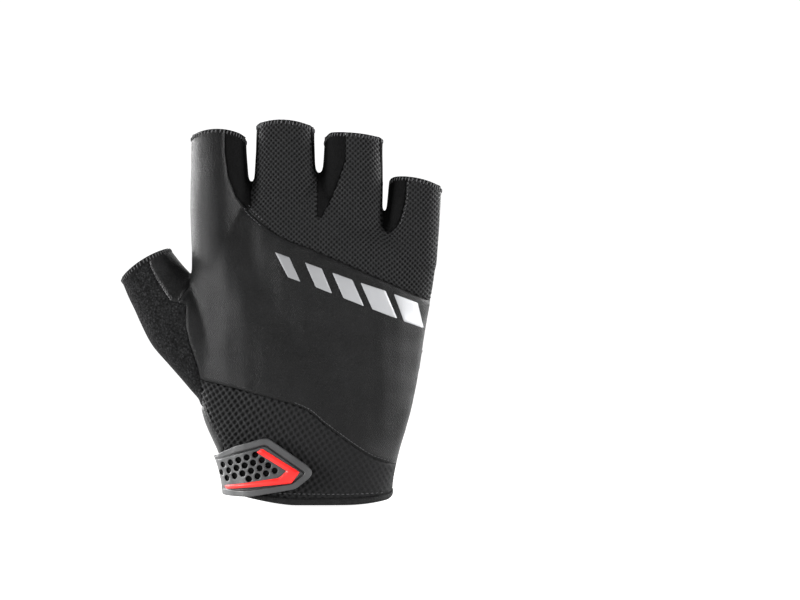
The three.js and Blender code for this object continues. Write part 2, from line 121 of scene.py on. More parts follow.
def floor_plate():
    bm = bmesh.new()
    profile = [bm.verts.new((0, 0, -FLOOR_DROP)), bm.verts.new((FLOOR_RADIUS, 0, -FLOOR_DROP))]
    for step in range(1, 9):
        turn = math.radians(90) * step / 8
        reach = FLOOR_RADIUS + FLOOR_CURVE * math.sin(turn)
        profile.append(bm.verts.new((reach, 0, FLOOR_CURVE * (1 - math.cos(turn)) - FLOOR_DROP)))
    edges = [bm.edges.new(pair) for pair in zip(profile, profile[1:])]
    bmesh.ops.spin(
        bm, geom=profile + edges, cent=(0, 0, 0), axis=(0, 0, 1), angle=math.tau, steps=48, use_merge=True
    )
    bmesh.ops.remove_doubles(bm, verts=bm.verts[:], dist=0.01)
    bmesh.ops.scale(bm, vec=(MM, MM, MM), verts=bm.verts[:])
    mesh = bpy.data.meshes.new("floor")
    bm.to_mesh(mesh)
    mesh.shade_smooth()
    return link(mesh, "floor")


floor = floor_plate()
paper = bpy.data.materials.new("paper")
paper.use_nodes = True
sheet = paper.node_tree.nodes["Principled BSDF"].inputs
sheet["Base Color"].default_value = (0.3, 0.3, 0.3, 1)
sheet["Roughness"].default_value = 0.9
sheet["Emission Color"].default_value = (1, 1, 1, 1)
sheet["Emission Strength"].default_value = 0.95
floor.data.materials.append(paper)

# %% Light
LIGHTS = [
    # name, place, size, watts
    ("left front", (-860, -330, 230), (240, 900), 3.2),
    ("right front", (880, -330, 150), (240, 900), 3.2),
    ("left behind", (-750, 560, 250), (260, 900), 2.2),
    ("right behind", (750, 560, 250), (260, 900), 1.6),
    ("top", (0, 100, 1000), (900, 600), 0.5),
]
LIGHT_SPREAD = math.radians(60)
ROOM_LIGHT = 0.14
GLOVE_MIDDLE = Vector((0, 0, 75))
for name, place, size, watts in LIGHTS:
    data = bpy.data.lights.new(name, "AREA")
    data.shape = "RECTANGLE"
    data.size, data.size_y = (side * MM for side in size)
    data.energy = watts
    data.spread = LIGHT_SPREAD
    lamp = bpy.data.objects.new(name, data)
    lamp.location = Vector(place) * MM
    lamp.rotation_euler = (GLOVE_MIDDLE - Vector(place)).to_track_quat("-Z", "Y").to_euler()
    bpy.context.scene.collection.objects.link(lamp)
world = bpy.data.worlds.new("studio")
world.use_nodes = True
room = world.node_tree.nodes["Background"].inputs
room["Color"].default_value = (1, 1, 1, 1)
room["Strength"].default_value = ROOM_LIGHT
bpy.context.scene.world = world
bpy.context.scene.view_settings.view_transform = "Standard"
print("lights:", ", ".join(light[0] for light in LIGHTS))

# %% [markdown]
# ## The hand form
#
# A glove takes its shape from the hand in it. The form is lofted: circles are moved onto the
# sections of a table and bridged. Palm, fingers, thumb and the mound at the thumb's root are
# closed forms that overlap, and a voxel remesh turns them into one skin, which is then relaxed
# where fingers and thumb grow out of the palm. Shares are of the glove's few driving sizes.

# %% Sections
PALM_WIDTH = 100
KNUCKLE_HEIGHT = 100
PALM_DEPTH = 34
FINGER_WIDTH = 23
FINGER_DEPTH = 21.5
FINGER_CURL = 3.5
FINGER_ROOT = 94
THUMB_WIDTH = 23.3
THUMB_DEPTH = 22
THUMB_LENGTH = 57
THUMB_LEAN = math.radians(33.4)
PALM_FULLNESS = 2.5
TUBE_FULLNESS = 2.2

PALM_ROWS = [
    # height, thumb side, little side, back, palm, hollow, bend with the web line
    (-0.06, -0.322, 0.32, 0.55, 0.56, 0, 0),
    (0.0, -0.325, 0.324, 0.55, 0.56, 0, 0),
    (0.1, -0.34, 0.333, 0.54, 0.56, 0, 0),
    (0.2, -0.37, 0.352, 0.52, 0.57, 0.01, 0),
    (0.34, -0.43, 0.388, 0.49, 0.57, 0.03, 0),
    (0.5, -0.458, 0.424, 0.47, 0.55, 0.05, 0),
    (0.66, -0.472, 0.452, 0.46, 0.52, 0.06, 0),
    (0.82, -0.478, 0.48, 0.45, 0.48, 0.05, 0.05),
    (0.98, -0.478, 0.5, 0.42, 0.43, 0.01, 0.2),
    (1.09, -0.475, 0.505, 0.36, 0.37, 0, 0.5),
    (1.17, -0.465, 0.495, 0.26, 0.27, 0, 0.8),
    (1.24, -0.44, 0.47, 0.1, 0.1, 0, 1),
]
WEB_LINE = [(-0.5, -0.05), (-0.236, 0), (0.028, 0.055), (0.289, -0.125), (0.52, -0.13)]
FINGERS = [
    # name, root X, end X, girth, flare, length past the knuckle seam,
    # then of its open end: slope, crown and how far a gusset pulls one side down
    ("index", -0.352, -0.372, 0.952, 1, 46.0, 0, 3.0, 1.2),
    ("middle", -0.105, -0.103, 1, 1, 50.2, -0.056, 2.4, 0),
    ("ring", 0.151, 0.171, 1.01, 0.8, 46.4, -0.093, 1.0, -3),
    ("little", 0.391, 0.418, 0.92, 0.4, 27.6, -0.195, 2.0, -1.5),
]
FINGER_ROWS = [(0, 1.12), (0.35, 1.12), (0.6, 1.09), (0.82, 1.03), (1, 1)]  # along, flare
THUMB_END = Vector((-67, 0, 95.2))
THUMB_ROWS = [
    # along from the hem inwards, width, depth, Y as a share of the palm's depth
    (1, 1, 0.8, 0.06),
    (0.84, 1.1, 1.08, 0.08),
    (0.69, 1.2, 1.24, 0.1),
    (0.51, 1.31, 1.3, 0.12),
    (0.33, 1.24, 1.2, 0.15),
    (0.19, 1.13, 1.08, 0.17),
    (0, 1, 1, 0.2),
]
MOUND_PLACE = (-31, 6.8, 50)
MOUND_RADII = (15.5, 14.3, 26)
MOUND_LEAN = -0.6 * THUMB_LEAN
THUMB_OUT = Vector((-math.sin(THUMB_LEAN), 0, math.cos(THUMB_LEAN)))
THUMB_ACROSS = Vector((math.cos(THUMB_LEAN), 0, math.sin(THUMB_LEAN)))


def smooth_rows(rows, count):
    """Count rows on a smooth curve through the rows of a table."""
    table = np.array(rows, float)
    along = np.linspace(0, len(table) - 1, count)
    start = np.minimum(along.astype(int), len(table) - 2)
    part = (along - start)[:, None]
    before = table[np.maximum(start - 1, 0)]
    here = table[start]
    there = table[start + 1]
    after = table[np.minimum(start + 2, len(table) - 1)]
    bend = 2 * before - 5 * here + 4 * there - after + part * (3 * (here - there) + after - before)
    return here + 0.5 * part * (there - before + part * bend)


def rounded(angle, fullness):
    """A point of a ring that is fuller than an ellipse."""
    cos = math.cos(angle)
    sin = math.sin(angle)
    power = 2 / fullness
    return math.copysign(abs(cos) ** power, cos), math.copysign(abs(sin) ** power, sin)


WEB = smooth_rows(WEB_LINE, 60)


def palm_place(row, skin):
    height, thumb_side, little_side, back, palm, hollow, bend = row
    left = thumb_side * PALM_WIDTH - skin
    right = little_side * PALM_WIDTH + skin

    def place(angle):
        cos, sin = rounded(angle, PALM_FULLNESS)
        x = (left + right) / 2 + (right - left) / 2 * cos
        depth = (palm if sin > 0 else back) * PALM_DEPTH + skin
        dent = hollow * PALM_DEPTH * (1 - cos * cos) ** 2 if sin > 0 else 0
        rise = bend * np.interp(x / PALM_WIDTH, WEB[:, 0], WEB[:, 1])
        return Vector((x, max(depth, 0.3) * sin - dent, (height + rise) * KNUCKLE_HEIGHT + bend * skin))

    return place


# %% Lofting
def ring(bm, sides, place):
    verts = bmesh.ops.create_circle(bm, segments=sides, radius=1)["verts"]
    for vert in verts:
        vert.co = place(math.atan2(vert.co.y, vert.co.x))
    return list({edge for vert in verts for edge in vert.link_edges})


def loft(bm, places, sides, closed=False):
    rings = [ring(bm, sides, place) for place in places]
    for low, high in zip(rings, rings[1:] + rings[:1] if closed else rings[1:]):
        bmesh.ops.bridge_loops(bm, edges=low + high)
    if not closed:
        bmesh.ops.holes_fill(bm, edges=rings[0] + rings[-1])


def tube_place(centre, across, half_width, half_depth, lift):
    def place(angle):
        cos, sin = rounded(angle, TUBE_FULLNESS)
        return centre + across * (half_width * cos) + Vector((0, half_depth * sin, 0)) + lift(cos, sin)

    return place


def add_palm(bm, skin, rows=PALM_ROWS, count=46, sides=96):
    loft(bm, [palm_place(row, skin) for row in smooth_rows(rows, count)], sides)


def end_rise(share, half_width, slope, crown, pulled):
    """The height of an open end's edge across its width; a gusset pulls down its own side."""
    turned = share * math.copysign(1, pulled)
    drop = abs(pulled) * max(0, (turned - 0.7) / 0.3) ** 2
    return slope * half_width * share + crown * (1 - share**2) - drop


def add_finger(bm, finger, skin, past):
    _, root_x, end_x, girth, spreading, length, slope, crown, _ = finger
    end_z = KNUCKLE_HEIGHT + length

    def place(along, flare, beyond=0):
        flare = 1 + (flare - 1) * spreading
        centre = Vector((
            (root_x + (end_x - root_x) * along) * PALM_WIDTH,
            FINGER_CURL * along**2,
            FINGER_ROOT + (end_z - FINGER_ROOT) * along + beyond,
        ))
        half_width = FINGER_WIDTH * girth * flare / 2 + skin
        half_depth = FINGER_DEPTH * girth * (1 + flare) / 4 + skin

        def lift(cos, sin):
            return Vector((0, 0, along**6 * (slope * half_width * cos + crown * sin**2)))

        return tube_place(centre, Vector((1, 0, 0)), half_width, half_depth, lift)

    places = [place(along, flare) for along, flare in smooth_rows(FINGER_ROWS, 18)]
    loft(bm, places + [place(1, 1, past)], 64)


def add_thumb(bm, skin, past):
    def place(row, beyond=0):
        along, width, depth, y = row
        centre = THUMB_END - THUMB_OUT * (along * THUMB_LENGTH - beyond) + Vector((0, y * PALM_DEPTH, 0))
        half_width = THUMB_WIDTH * width / 2 + skin
        half_depth = THUMB_DEPTH * depth / 2 + skin
        return tube_place(centre, THUMB_ACROSS, half_width, half_depth, lambda cos, sin: Vector())

    places = [place(row) for row in smooth_rows(THUMB_ROWS, 24)]
    loft(bm, places + [place(THUMB_ROWS[-1], past)], 64)


def add_egg(bm, stand, radii, skin, rings):
    """A stretched sphere, for the swellings that no section table holds."""
    place = stand @ Matrix.Diagonal((*(radius + skin for radius in radii), 1))
    bmesh.ops.create_uvsphere(bm, u_segments=2 * rings, v_segments=rings, radius=1, matrix=place)


def add_mound(bm, skin):
    stand = Matrix.Translation(MOUND_PLACE) @ Matrix.Rotation(MOUND_LEAN, 4, "Y")
    add_egg(bm, stand, MOUND_RADII, skin, 24)


# %% Remeshing and relaxing
def mesh_of(bm, name="work"):
    mesh = bpy.data.meshes.new(name)
    bm.to_mesh(mesh)
    bm.free()
    return mesh


def solid_of(bm):
    """The mesh of closed forms, with their faces turned outwards."""
    bmesh.ops.recalc_face_normals(bm, faces=bm.faces[:])
    return mesh_of(bm)


def through_modifier(mesh, kind, **settings):
    """The mesh after one modifier."""
    holder = link(mesh, "holder")
    modifier = holder.modifiers.new("step", kind)
    for key, value in settings.items():
        setattr(modifier, key, value)
    graph = bpy.context.evaluated_depsgraph_get()
    made = bpy.data.meshes.new_from_object(holder.evaluated_get(graph))
    bpy.data.objects.remove(holder)
    return made


def remeshed(mesh, voxel):
    return through_modifier(mesh, "REMESH", mode="VOXEL", voxel_size=voxel, use_smooth_shade=True)


def points_of(mesh):
    flat = np.empty(len(mesh.vertices) * 3, np.float32)
    mesh.vertices.foreach_get("co", flat)
    return flat.reshape(-1, 3).astype(float)


def set_points(mesh, points):
    mesh.vertices.foreach_set("co", points.astype(np.float32).ravel())
    mesh.update()


def normals_of(mesh):
    flat = np.empty(len(mesh.vertices) * 3, np.float32)
    mesh.vertex_normals.foreach_get("vector", flat)
    return flat.reshape(-1, 3).astype(float)


def tree_of(mesh):
    """The mesh's faces, ready for questions about the nearest place or a ray."""
    places = [vert.co.copy() for vert in mesh.vertices]
    return BVHTree.FromPolygons(places, [tuple(face.vertices) for face in mesh.polygons])


def relax(mesh, weight, rounds):
    """Moves each vertex towards the mean of its neighbours."""
    pairs = np.empty(len(mesh.edges) * 2, np.int32)
    mesh.edges.foreach_get("vertices", pairs)
    pairs = pairs.reshape(-1, 2)
    ends = np.concatenate([pairs[:, 0], pairs[:, 1]])
    others = np.concatenate([pairs[:, 1], pairs[:, 0]])
    points = points_of(mesh)
    count = np.bincount(ends, minlength=len(points))[:, None]
    weight = np.broadcast_to(np.asarray(weight, float).reshape(-1, 1), (len(points), 1))
    for _ in range(rounds):
        sums = [np.bincount(ends, points[others, axis], len(points)) for axis in range(3)]
        points += weight * (np.stack(sums, 1) / count - points)
    set_points(mesh, points)


WEBS = [
    # X, Z, radius within which the skin is relaxed further
    (-24, 124, 10),
    (2.6, 133, 9.5),
    (29.3, 111, 6),
    (-47, 88, 14),
    (-44, 60, 12),
    (-46, 44, 10),
]
WEB_FILLS = [(-23.9, 1.5, 123.2), (2.9, 1.5, 126.8)]  # skin between two fingers
WEB_FILL_RADII = (2.4, 8, 4.6)


def hand_skin(skin, past, voxel, rounds):
    """The whole hand, grown by skin, with its tubes drawn out past the open ends."""
    bm = bmesh.new()
    add_palm(bm, skin)
    for spot in WEB_FILLS:
        add_egg(bm, Matrix.Translation(spot), WEB_FILL_RADII, skin, 12)
    for finger in FINGERS:
        add_finger(bm, finger, skin, past)
    add_thumb(bm, skin, past)
    add_mound(bm, skin)
    mesh = remeshed(solid_of(bm), voxel)
    relax(mesh, 0.5, rounds)
    points = points_of(mesh)
    near = sum(np.exp(-((points[:, 0] - x) ** 2 + (points[:, 2] - z) ** 2) / r**2) for x, z, r in WEBS)
    relax(mesh, np.minimum(near, 1) * 0.5, int(24 / voxel))
    return mesh


WALL = 1.6
skin = hand_skin(0, 8, 0.6, 7)
inner = hand_skin(-WALL, 16, 1.3, 2)
print("skin:", len(skin.vertices), "points; lining:", len(inner.vertices))

# %% [markdown]
# ## Folds, channels and stitched lines
#
# Cloth and leather aren't smooth: they fold at the joints of the hand, and each stitched line
# pulls a small valley. A modeller could sculpt these by hand. Here each one is a short line in
# the front plane, and every point of the skin near it sinks by how close it lies.

# %% Lines in the front plane
def curve_through(points, steps=6, closed=False):
    """A smooth line of X and Z through a few points."""
    if not closed:
        return smooth_rows(points, steps * (len(points) - 1) + 1)
    count = len(points)
    around = [points[i % count] for i in range(-2, count + 3)]
    whole = smooth_rows(around, steps * (len(around) - 1) + 1)
    return whole[2 * steps : (count + 2) * steps + 1]


def distance_to(places, line):
    """How far each X, Z place is from a line, and how far along the nearest spot is, from 0 to 1."""
    best = np.full(len(places), 1e9)
    along = np.zeros(len(places))
    spans = len(line) - 1
    for number, (start, end) in enumerate(zip(line, line[1:])):
        run = end - start
        part = np.clip((places - start) @ run / max(run @ run, 1e-9), 0, 1)
        gap = np.linalg.norm(places - start - part[:, None] * run, axis=1)
        nearer = gap < best
        best = np.where(nearer, gap, best)
        along = np.where(nearer, (number + part) / spans, along)
    return best, along


THUMB_SIDE_SEAM = [(-49.2, 79.3), (-49.3, 71.5), (-47.7, 63.2), (-44.9, 54), (-43.6, 45), (-43.2, 38.3)]
THUMB_FOLD = [(-66, 112), (-64.6, 97.2), (-62.4, 91.2), (-58.7, 84.8), (-55.5, 80.5)]
THUMB_ROOT = [(-48.4, 86), (-51.5, 82), (-54, 75), (-56, 68), (-61, 60)]
CROTCH_ARC = [(-38.5, 94.6), (-38.5, 101.2), (-41.7, 104.4), (-48.4, 106.5)]
CUFF_SIDE_SEAM = [(-34.2, 3), (-34.8, 21.4), (-38.4, 30), (-43.2, 41.2)]
CUFF_SEAM = [(-44.4, 49.2), (-30.6, 46), (-16.2, 42.4), (-2, 37.8), (7.3, 30.6), (23.4, 19.3), (34, 15.5)]
KNUCKLE_SEAM = [(-23.6, 125.6), (-25.6, 118.2), (-22.6, 114.3), (-11.6, 105.8), (3.7, 99.6), (46.6, 80.8)]
PALM_SEAM = [(49.3, 78.6), (25.8, 85.1), (9.7, 89.4), (-6.4, 91.5), (-22.5, 93.1)]
MOUND_SEAM = [
    (-40.1, 86.2), (-33.1, 81.9), (-23.5, 73.3), (-17.1, 65.8), (-13.4, 57.3), (-11.2, 46.5),
    (-11.7, 38), (-16, 30.5), (-23.5, 21.9), (-28.9, 16.5),
]
GEL_FRAME = [
    (41.6, 68.4), (44.2, 63.5), (43.4, 49.6), (41.4, 38), (39.6, 31), (34.6, 22.6), (17.1, 18.4),
    (-4.8, 17.4), (-7.4, 22), (-5.6, 33.7), (-3.2, 44), (0.8, 52.3), (20, 60.3),
]
THUMB_PAD = [
    (-38, 78.4), (-27.8, 71.7), (-20.8, 60.7), (-18.6, 49), (-20, 39.2), (-24.8, 33.8), (-31, 33.6),
    (-36, 37.5), (-42.6, 46.6), (-48.4, 56.4), (-50, 62.5), (-48.3, 70.4), (-43.4, 77.4),
]


def spread(outline, distance):
    """Moves each edge of a closed outline outwards."""
    line = np.asarray(outline, float)
    before = line - np.roll(line, 1, axis=0)
    after = np.roll(line, -1, axis=0) - line
    area = np.sum(line[:, 0] * np.roll(line[:, 1], -1) - np.roll(line[:, 0], -1) * line[:, 1])
    turn = 1 if area > 0 else -1

    def outward(run):
        run = run / np.maximum(np.linalg.norm(run, axis=1, keepdims=True), 1e-9)
        return np.stack([run[:, 1], -run[:, 0]], 1) * turn

    first = outward(before)
    bisector = first + outward(after)
    bisector /= np.maximum(np.linalg.norm(bisector, axis=1, keepdims=True), 1e-9)
    lean = np.maximum(np.sum(bisector * first, axis=1, keepdims=True), 0.5)
    return line + bisector * distance / lean


def closed(line):
    return np.vstack([line, line[:1]])


PAD_FRAME = curve_through(spread(THUMB_PAD, 2.2), closed=True)
MOUND_FRAME = curve_through(spread(MOUND_SEAM, -2.4)[:-1])
GEL_LINE = curve_through(GEL_FRAME, closed=True)


# %% Creases and channels
BACK, PALM = -1, 1
CREASES = [
    # side, width, depth (less than nothing for a swelling), points
    (BACK, 7, -1.1, [(-37, 142), (-36.6, 122), (-35, 104), (-31, 88), (-28, 80)]),
    (BACK, 6, 0.8, [(-27, 118), (-25, 104), (-20, 90), (-14, 76), (-8, 62)]),
    (BACK, 15, -1.0, [(-26, 62), (-22, 52), (-20, 44)]),
    (BACK, 11, -1.1, [(30, 60), (33, 48), (31, 38)]),
    (BACK, 5, 0.6, [(1, 120), (4, 108), (3, 96)]),
    (BACK, 4.5, 0.6, [(29, 108), (26, 99), (21, 90)]),
    (BACK, 1.6, 0.3, [(-30, 118), (-24, 106), (-17, 97)]),
    (BACK, 1.6, 0.25, [(-34, 116), (-28, 103), (-22, 93)]),
    (PALM, 1.1, 0.55, [(-36.5, 121), (-40, 113), (-45, 106)]),
    (PALM, 1.0, 0.5, [(-38, 126), (-42.4, 116), (-46.5, 110)]),
    (PALM, 1.0, 0.45, [(-40.6, 129), (-44, 121), (-47, 116)]),
    (PALM, 1.2, 0.6, [(-37, 101), (-42, 99), (-47, 96)]),
    (PALM, 1.3, 0.6, [(-42, 92), (-46, 86), (-50, 78)]),
    (PALM, 1.3, 0.9, [(-46, 92), (-50, 85), (-54, 79)]),
    (PALM, 1.6, 0.9, [(-50, 92), (-54, 86), (-60, 83)]),
    (PALM, 1.4, 0.7, [(-45, 88), (-48, 79), (-53, 72)]),
    (PALM, 1.5, 0.6, [(-52, 72), (-50, 62), (-45, 50)]),
    (PALM, 1.2, 0.35, [(22, 128), (14, 130), (6, 129)]),
    (PALM, 1.2, 0.35, [(0, 134), (-8, 135.5), (-19, 134)]),
    (PALM, 1.2, 0.3, [(47, 116), (40, 117), (34, 115)]),
    (PALM, 1.6, 0.5, [(36, 10), (24, 12), (8, 11)]),
    (PALM, 1.4, 0.45, [(8, 14), (-8, 13), (-20, 10)]),
    (PALM, 2.0, 0.5, [(42, 96), (44, 88), (46, 80)]),
]
SECOND_PALM_SEAM = [(49.4, 81.6), (25.8, 88), (9.7, 92.2), (-6.4, 94.2), (-22.5, 95.8), (-36.6, 97)]
UPPER_CHANNEL = [(44, 105.4), (25.8, 109.2), (0, 111), (-17.1, 113.8), (-35.3, 116)]
LOWER_CHANNEL = [(44, 93.6), (15, 96.4), (-6.4, 99.1), (-23.5, 103.9), (-34.4, 106.4)]
CHANNELS = [
    # side, width, depth, line
    (PALM, 1.1, 0.6, curve_through(SECOND_PALM_SEAM)),
    (PALM, 1.6, 0.8, curve_through(UPPER_CHANNEL)),
    (PALM, 1.6, 0.8, curve_through(LOWER_CHANNEL)),
    (PALM, 1.1, 0.55, GEL_LINE),
    (PALM, 1.0, 0.6, PAD_FRAME),
    (PALM, 1.1, 0.5, MOUND_FRAME),
]


def sink_along_lines(mesh):
    """Sinks or swells the mesh along every line, and adds a little slack between them."""
    points = points_of(mesh)
    normals = normals_of(mesh)
    drop = np.zeros(len(points))
    swell = np.zeros(len(points))
    soft = [(side, width, depth, curve_through(line), 0.25) for side, width, depth, line in CREASES]
    hard = [(side, width, depth, line, 0) for side, width, depth, line in CHANNELS]
    for side, width, depth, line, fade in soft + hard:
        near = points[:, 1] * side > 1
        for axis, column in ((0, 0), (2, 1)):
            near &= points[:, axis] > line[:, column].min() - 3 * width
            near &= points[:, axis] < line[:, column].max() + 3 * width
        chosen = np.nonzero(near)[0]
        gap, along = distance_to(points[chosen][:, [0, 2]], line)
        share = np.exp(-((gap / width) ** 2))
        if fade and depth > 0:
            end = np.clip(np.minimum(along, 1 - along) / fade, 0, 1)
            share *= end * end * (3 - 2 * end)
        drop[chosen] = np.maximum(drop[chosen], depth * share)
        swell[chosen] += max(-depth, 0) * share
    x, y, z = points.T
    slack = np.sin(0.21 * x + 0.5 * np.sin(0.13 * z)) * np.sin(0.17 * z + 1.3) * 0.22
    slack += np.sin(0.47 * x + 0.31 * z + 0.8) * np.sin(0.29 * z - 0.35 * x) * 0.1
    slack *= np.clip(np.abs(y) / 6, 0, 1) * np.clip((z - 20) / 15, 0.2, 1)
    set_points(mesh, points + normals * (slack + swell - drop)[:, None])


sink_along_lines(skin)
skin_tree = tree_of(skin)
print("creases:", len(CREASES), "channels:", len(CHANNELS))

# %% [markdown]
# ## Cutting the panels
#
# The skin less the lining is a wall. Each panel is cut from it with an outline pushed through
# like a pastry cutter, so that neighbours share one seam. The panels' edges are then turned in,
# as cloth turns at a seam, and at the fingers' open ends too.

# %% Cutters
FAR = 200


def prism(outline, from_y, to_y, bm=None):
    """Everything inside an outline of the front plane, from one Y to another."""
    own = bm is None
    bm = bm or bmesh.new()
    face = bm.faces.new([bm.verts.new((x, from_y, z)) for x, z in outline])
    walls = bmesh.ops.extrude_face_region(bm, geom=[face])
    top = [part for part in walls["geom"] if isinstance(part, bmesh.types.BMVert)]
    bmesh.ops.translate(bm, vec=(0, to_y - from_y, 0), verts=top)
    return solid_of(bm) if own else bm


def carve(base, tool, operation):
    holder = link(tool, "tool")
    made = through_modifier(base, "BOOLEAN", operation=operation, solver="MANIFOLD", object=holder)
    bpy.data.objects.remove(holder)
    return made


def rectangle(left, low, right, high):
    return [(left, low), (right, low), (right, high), (left, high)]


def largest_island(mesh):
    """Drops the crumbs that a cut can leave."""
    bm = bmesh.new()
    bm.from_mesh(mesh)
    waiting = set(bm.verts)
    islands = []
    while waiting:
        island = [waiting.pop()]
        for vert in island:
            for edge in vert.link_edges:
                other = edge.other_vert(vert)
                if other in waiting:
                    waiting.remove(other)
                    island.append(other)
        islands.append(island)
    islands.sort(key=len)
    crumbs = [vert for island in islands[:-1] for vert in island]
    bmesh.ops.delete(bm, geom=crumbs, context="VERTS")
    bm.to_mesh(mesh)
    bm.free()
    return mesh


# %% The wall with its open ends
HEM_HEIGHT = 2.8
END_MARGIN = 1.2
THUMB_HEM = (0, 1.6, 0)  # slope, crown and pulled side of the thumb's end


def end_cutter(centre, across, outward, half_width, end):
    line = []
    for share in np.linspace(-1, 1, 41):
        reach = share * (half_width + END_MARGIN)
        line.append(centre + across * reach + outward * end_rise(share, half_width, *end))
    line += [line[-1] + outward * 24, line[0] + outward * 24]
    return prism([(point.x, point.z) for point in line], -40, 50)


wall = carve(skin, inner, "DIFFERENCE")
for _, _, end_x, girth, _, length, *end in FINGERS:
    centre = Vector((end_x * PALM_WIDTH, 0, KNUCKLE_HEIGHT + length))
    cutter = end_cutter(centre, Vector((1, 0, 0)), Vector((0, 0, 1)), FINGER_WIDTH * girth / 2, end)
    wall = carve(wall, cutter, "DIFFERENCE")
wall = carve(wall, end_cutter(THUMB_END, THUMB_ACROSS, THUMB_OUT, THUMB_WIDTH / 2, THUMB_HEM), "DIFFERENCE")
wall = carve(wall, prism(rectangle(-FAR, HEM_HEIGHT - 0.3, FAR, FAR), -FAR, FAR), "INTERSECT")
print("wall:", len(wall.vertices), "points")

# %% Panel outlines
SIDE = -48.4  # X of the palm on the thumb side
THUMB_SEAM_DEPTH = 0.42 * PALM_DEPTH
SEAM_GAP = 0.12


def joined(*runs):
    """One outline of curved runs and single far points."""
    parts = [curve_through(run) if len(run) > 2 else np.array(run, float) for run in runs]
    return np.vstack(parts)


GUSSET_SIDE = 5.5  # half its width where it lies between two fingers
HIDDEN_SIDE = 1.5  # how far it reaches onto the back where it doesn't show
GUSSETS = [
    # node, where it shows on the back, where it hides
    (
        "gusset_index_middle",
        [
            (-33.8, FAR), (-33.8, 140), (-32.4, 130), (-29.3, 122), (-25.6, 117.6), (-23.9, 117.6),
            (-23.9, FAR),
        ],
        [(-24.4, FAR), (-24.4, FINGER_ROOT), (-10.4, FINGER_ROOT), (-10.4, FAR)],
    ),
    (
        # Where it shows over the ring finger's left side, this gusset's dark cloth is painted shade: the
        # knit there lies in shade. Between the fingers it is the real gusset.
        "gusset_middle_ring",
        [(2.7, FAR), (2.7, 114), (4.4, 113.6), (7, 118.5), (10.6, 127), (13.8, 136), (15, FAR)],
        [(3.2, FAR), (3.2, FINGER_ROOT), (-10.4, FINGER_ROOT), (-10.4, FAR)],
    ),
    (
        "gusset_ring_little",
        [
            (29.1, FAR), (29.1, 109.6), (31.5, 107.8), (34, 109.6), (36, 114), (37.6, 120.5), (38.1, 128),
            (38.1, FAR),
        ],
        [(29.6, FAR), (29.6, FINGER_ROOT), (16.5, FINGER_ROOT), (16.5, FAR)],
    ),
]


def gusset_cutter(shown, hidden, grow):
    """The outline that shows reaches over the back; the hidden one keeps between the fingers."""
    high = GUSSET_SIDE + grow
    low = -HIDDEN_SIDE - grow
    over_back = prism(spread(shown, grow), -FAR, high)
    between = prism(spread(hidden, grow), low, high)
    return carve(over_back, between, "UNION")


def panel_table():
    thumb_seam = joined(THUMB_SIDE_SEAM, [(-FAR, 38.3), (-FAR, 112)], THUMB_FOLD)
    thumb_root = joined([(SIDE, 112)], THUMB_ROOT, [(-FAR, 40), (-FAR, 112)])
    crotch = joined(CROTCH_ARC, [(-FAR, 108), (-FAR, 86)], [(-40.1, 86.2)])
    cuff = joined(CUFF_SEAM, [(FAR, 14.5), (FAR, -FAR)], [(-34.2, -FAR)], CUFF_SIDE_SEAM)
    knuckles = joined([(-23.6, FAR)], KNUCKLE_SEAM, [(FAR, 60), (FAR, FAR)])
    back = joined(CUFF_SEAM, [(FAR, 14.5), (FAR, FAR)], [(-FAR, FAR), (-FAR, 49.2)])
    upper = joined([(FAR, 76)], PALM_SEAM, CROTCH_ARC, [(-FAR, 108), (-FAR, FAR)], [(FAR, FAR)])
    thenar = joined(MOUND_SEAM, [(-34.2, -FAR), (-FAR, -FAR)], [(-FAR, 88), (SIDE, 86)])
    return [
        # CAD node, finish, outline, from Y, to Y
        ("thumb_back", "terry", thumb_seam, -FAR, THUMB_SEAM_DEPTH),
        ("thumb_leather", "leather", thumb_root, -FAR, FAR),
        ("crotch_gusset", "leather", crotch, 0, FAR),
        ("cuff_mesh", "cuff", cuff, -FAR, 0),
        ("knuckle_mesh", "knuckle", knuckles, -FAR, 0),
        ("back_panel", "stretch", back, -FAR, 0),
        ("upper_palm", "leather", upper, 0, FAR),
        ("thenar_panel", "leather", thenar, -FAR, FAR),
    ]


def cut_panels(uncut):
    """Each panel's mesh, and its finish."""
    panels = {}
    half = SEAM_GAP / 2
    for node, finish, outline, from_y, to_y in panel_table():
        low = from_y + half if from_y > -FAR else from_y
        high = to_y - half if to_y < FAR else to_y
        mesh = carve(uncut, prism(spread(outline, -half), low, high), "INTERSECT")
        panels[node] = (largest_island(mesh), finish)
        uncut = carve(uncut, prism(spread(outline, half), from_y - half, to_y + half), "DIFFERENCE")
        if node == "crotch_gusset":
            for name, shown, hidden in GUSSETS:
                strip = carve(uncut, gusset_cutter(shown, hidden, -half), "INTERSECT")
                panels[name] = (largest_island(strip), "gusset")
                uncut = carve(uncut, gusset_cutter(shown, hidden, half), "DIFFERENCE")
    panels["heel_palm"] = (largest_island(uncut), "leather")
    return panels


panels = cut_panels(wall)
for node, (mesh, _) in panels.items():
    print("panel", node, len(mesh.vertices), "points")

# %% [markdown]
# ## Finishes
#
# Every finish is a small node tree: a pattern drives the colour, the roughness and the bump
# together, so that a thread catches the light where it stands proud. Patterns that have no
# direction, such as grain and fuzz, read Object coordinates. Patterns that follow the cloth read
# an attribute named weave, which holds the distance along the cloth in millimetres.

# %% Node helpers
def new_finish(name, colour, roughness, **sockets):
    material = bpy.data.materials.new(name)
    material.use_nodes = True
    shader = material.node_tree.nodes["Principled BSDF"]
    shader.inputs["Base Color"].default_value = (*colour, 1)
    shader.inputs["Roughness"].default_value = roughness
    for socket, value in sockets.items():
        shader.inputs[socket.replace("_", " ")].default_value = value
    return material.node_tree, shader


def add_node(tree, kind, **sockets):
    made = tree.nodes.new(kind)
    for socket, value in sockets.items():
        slot = made.inputs[socket.replace("_", " ")]
        if isinstance(value, bpy.types.NodeSocket):
            tree.links.new(value, slot)
        else:
            slot.default_value = value
    return made


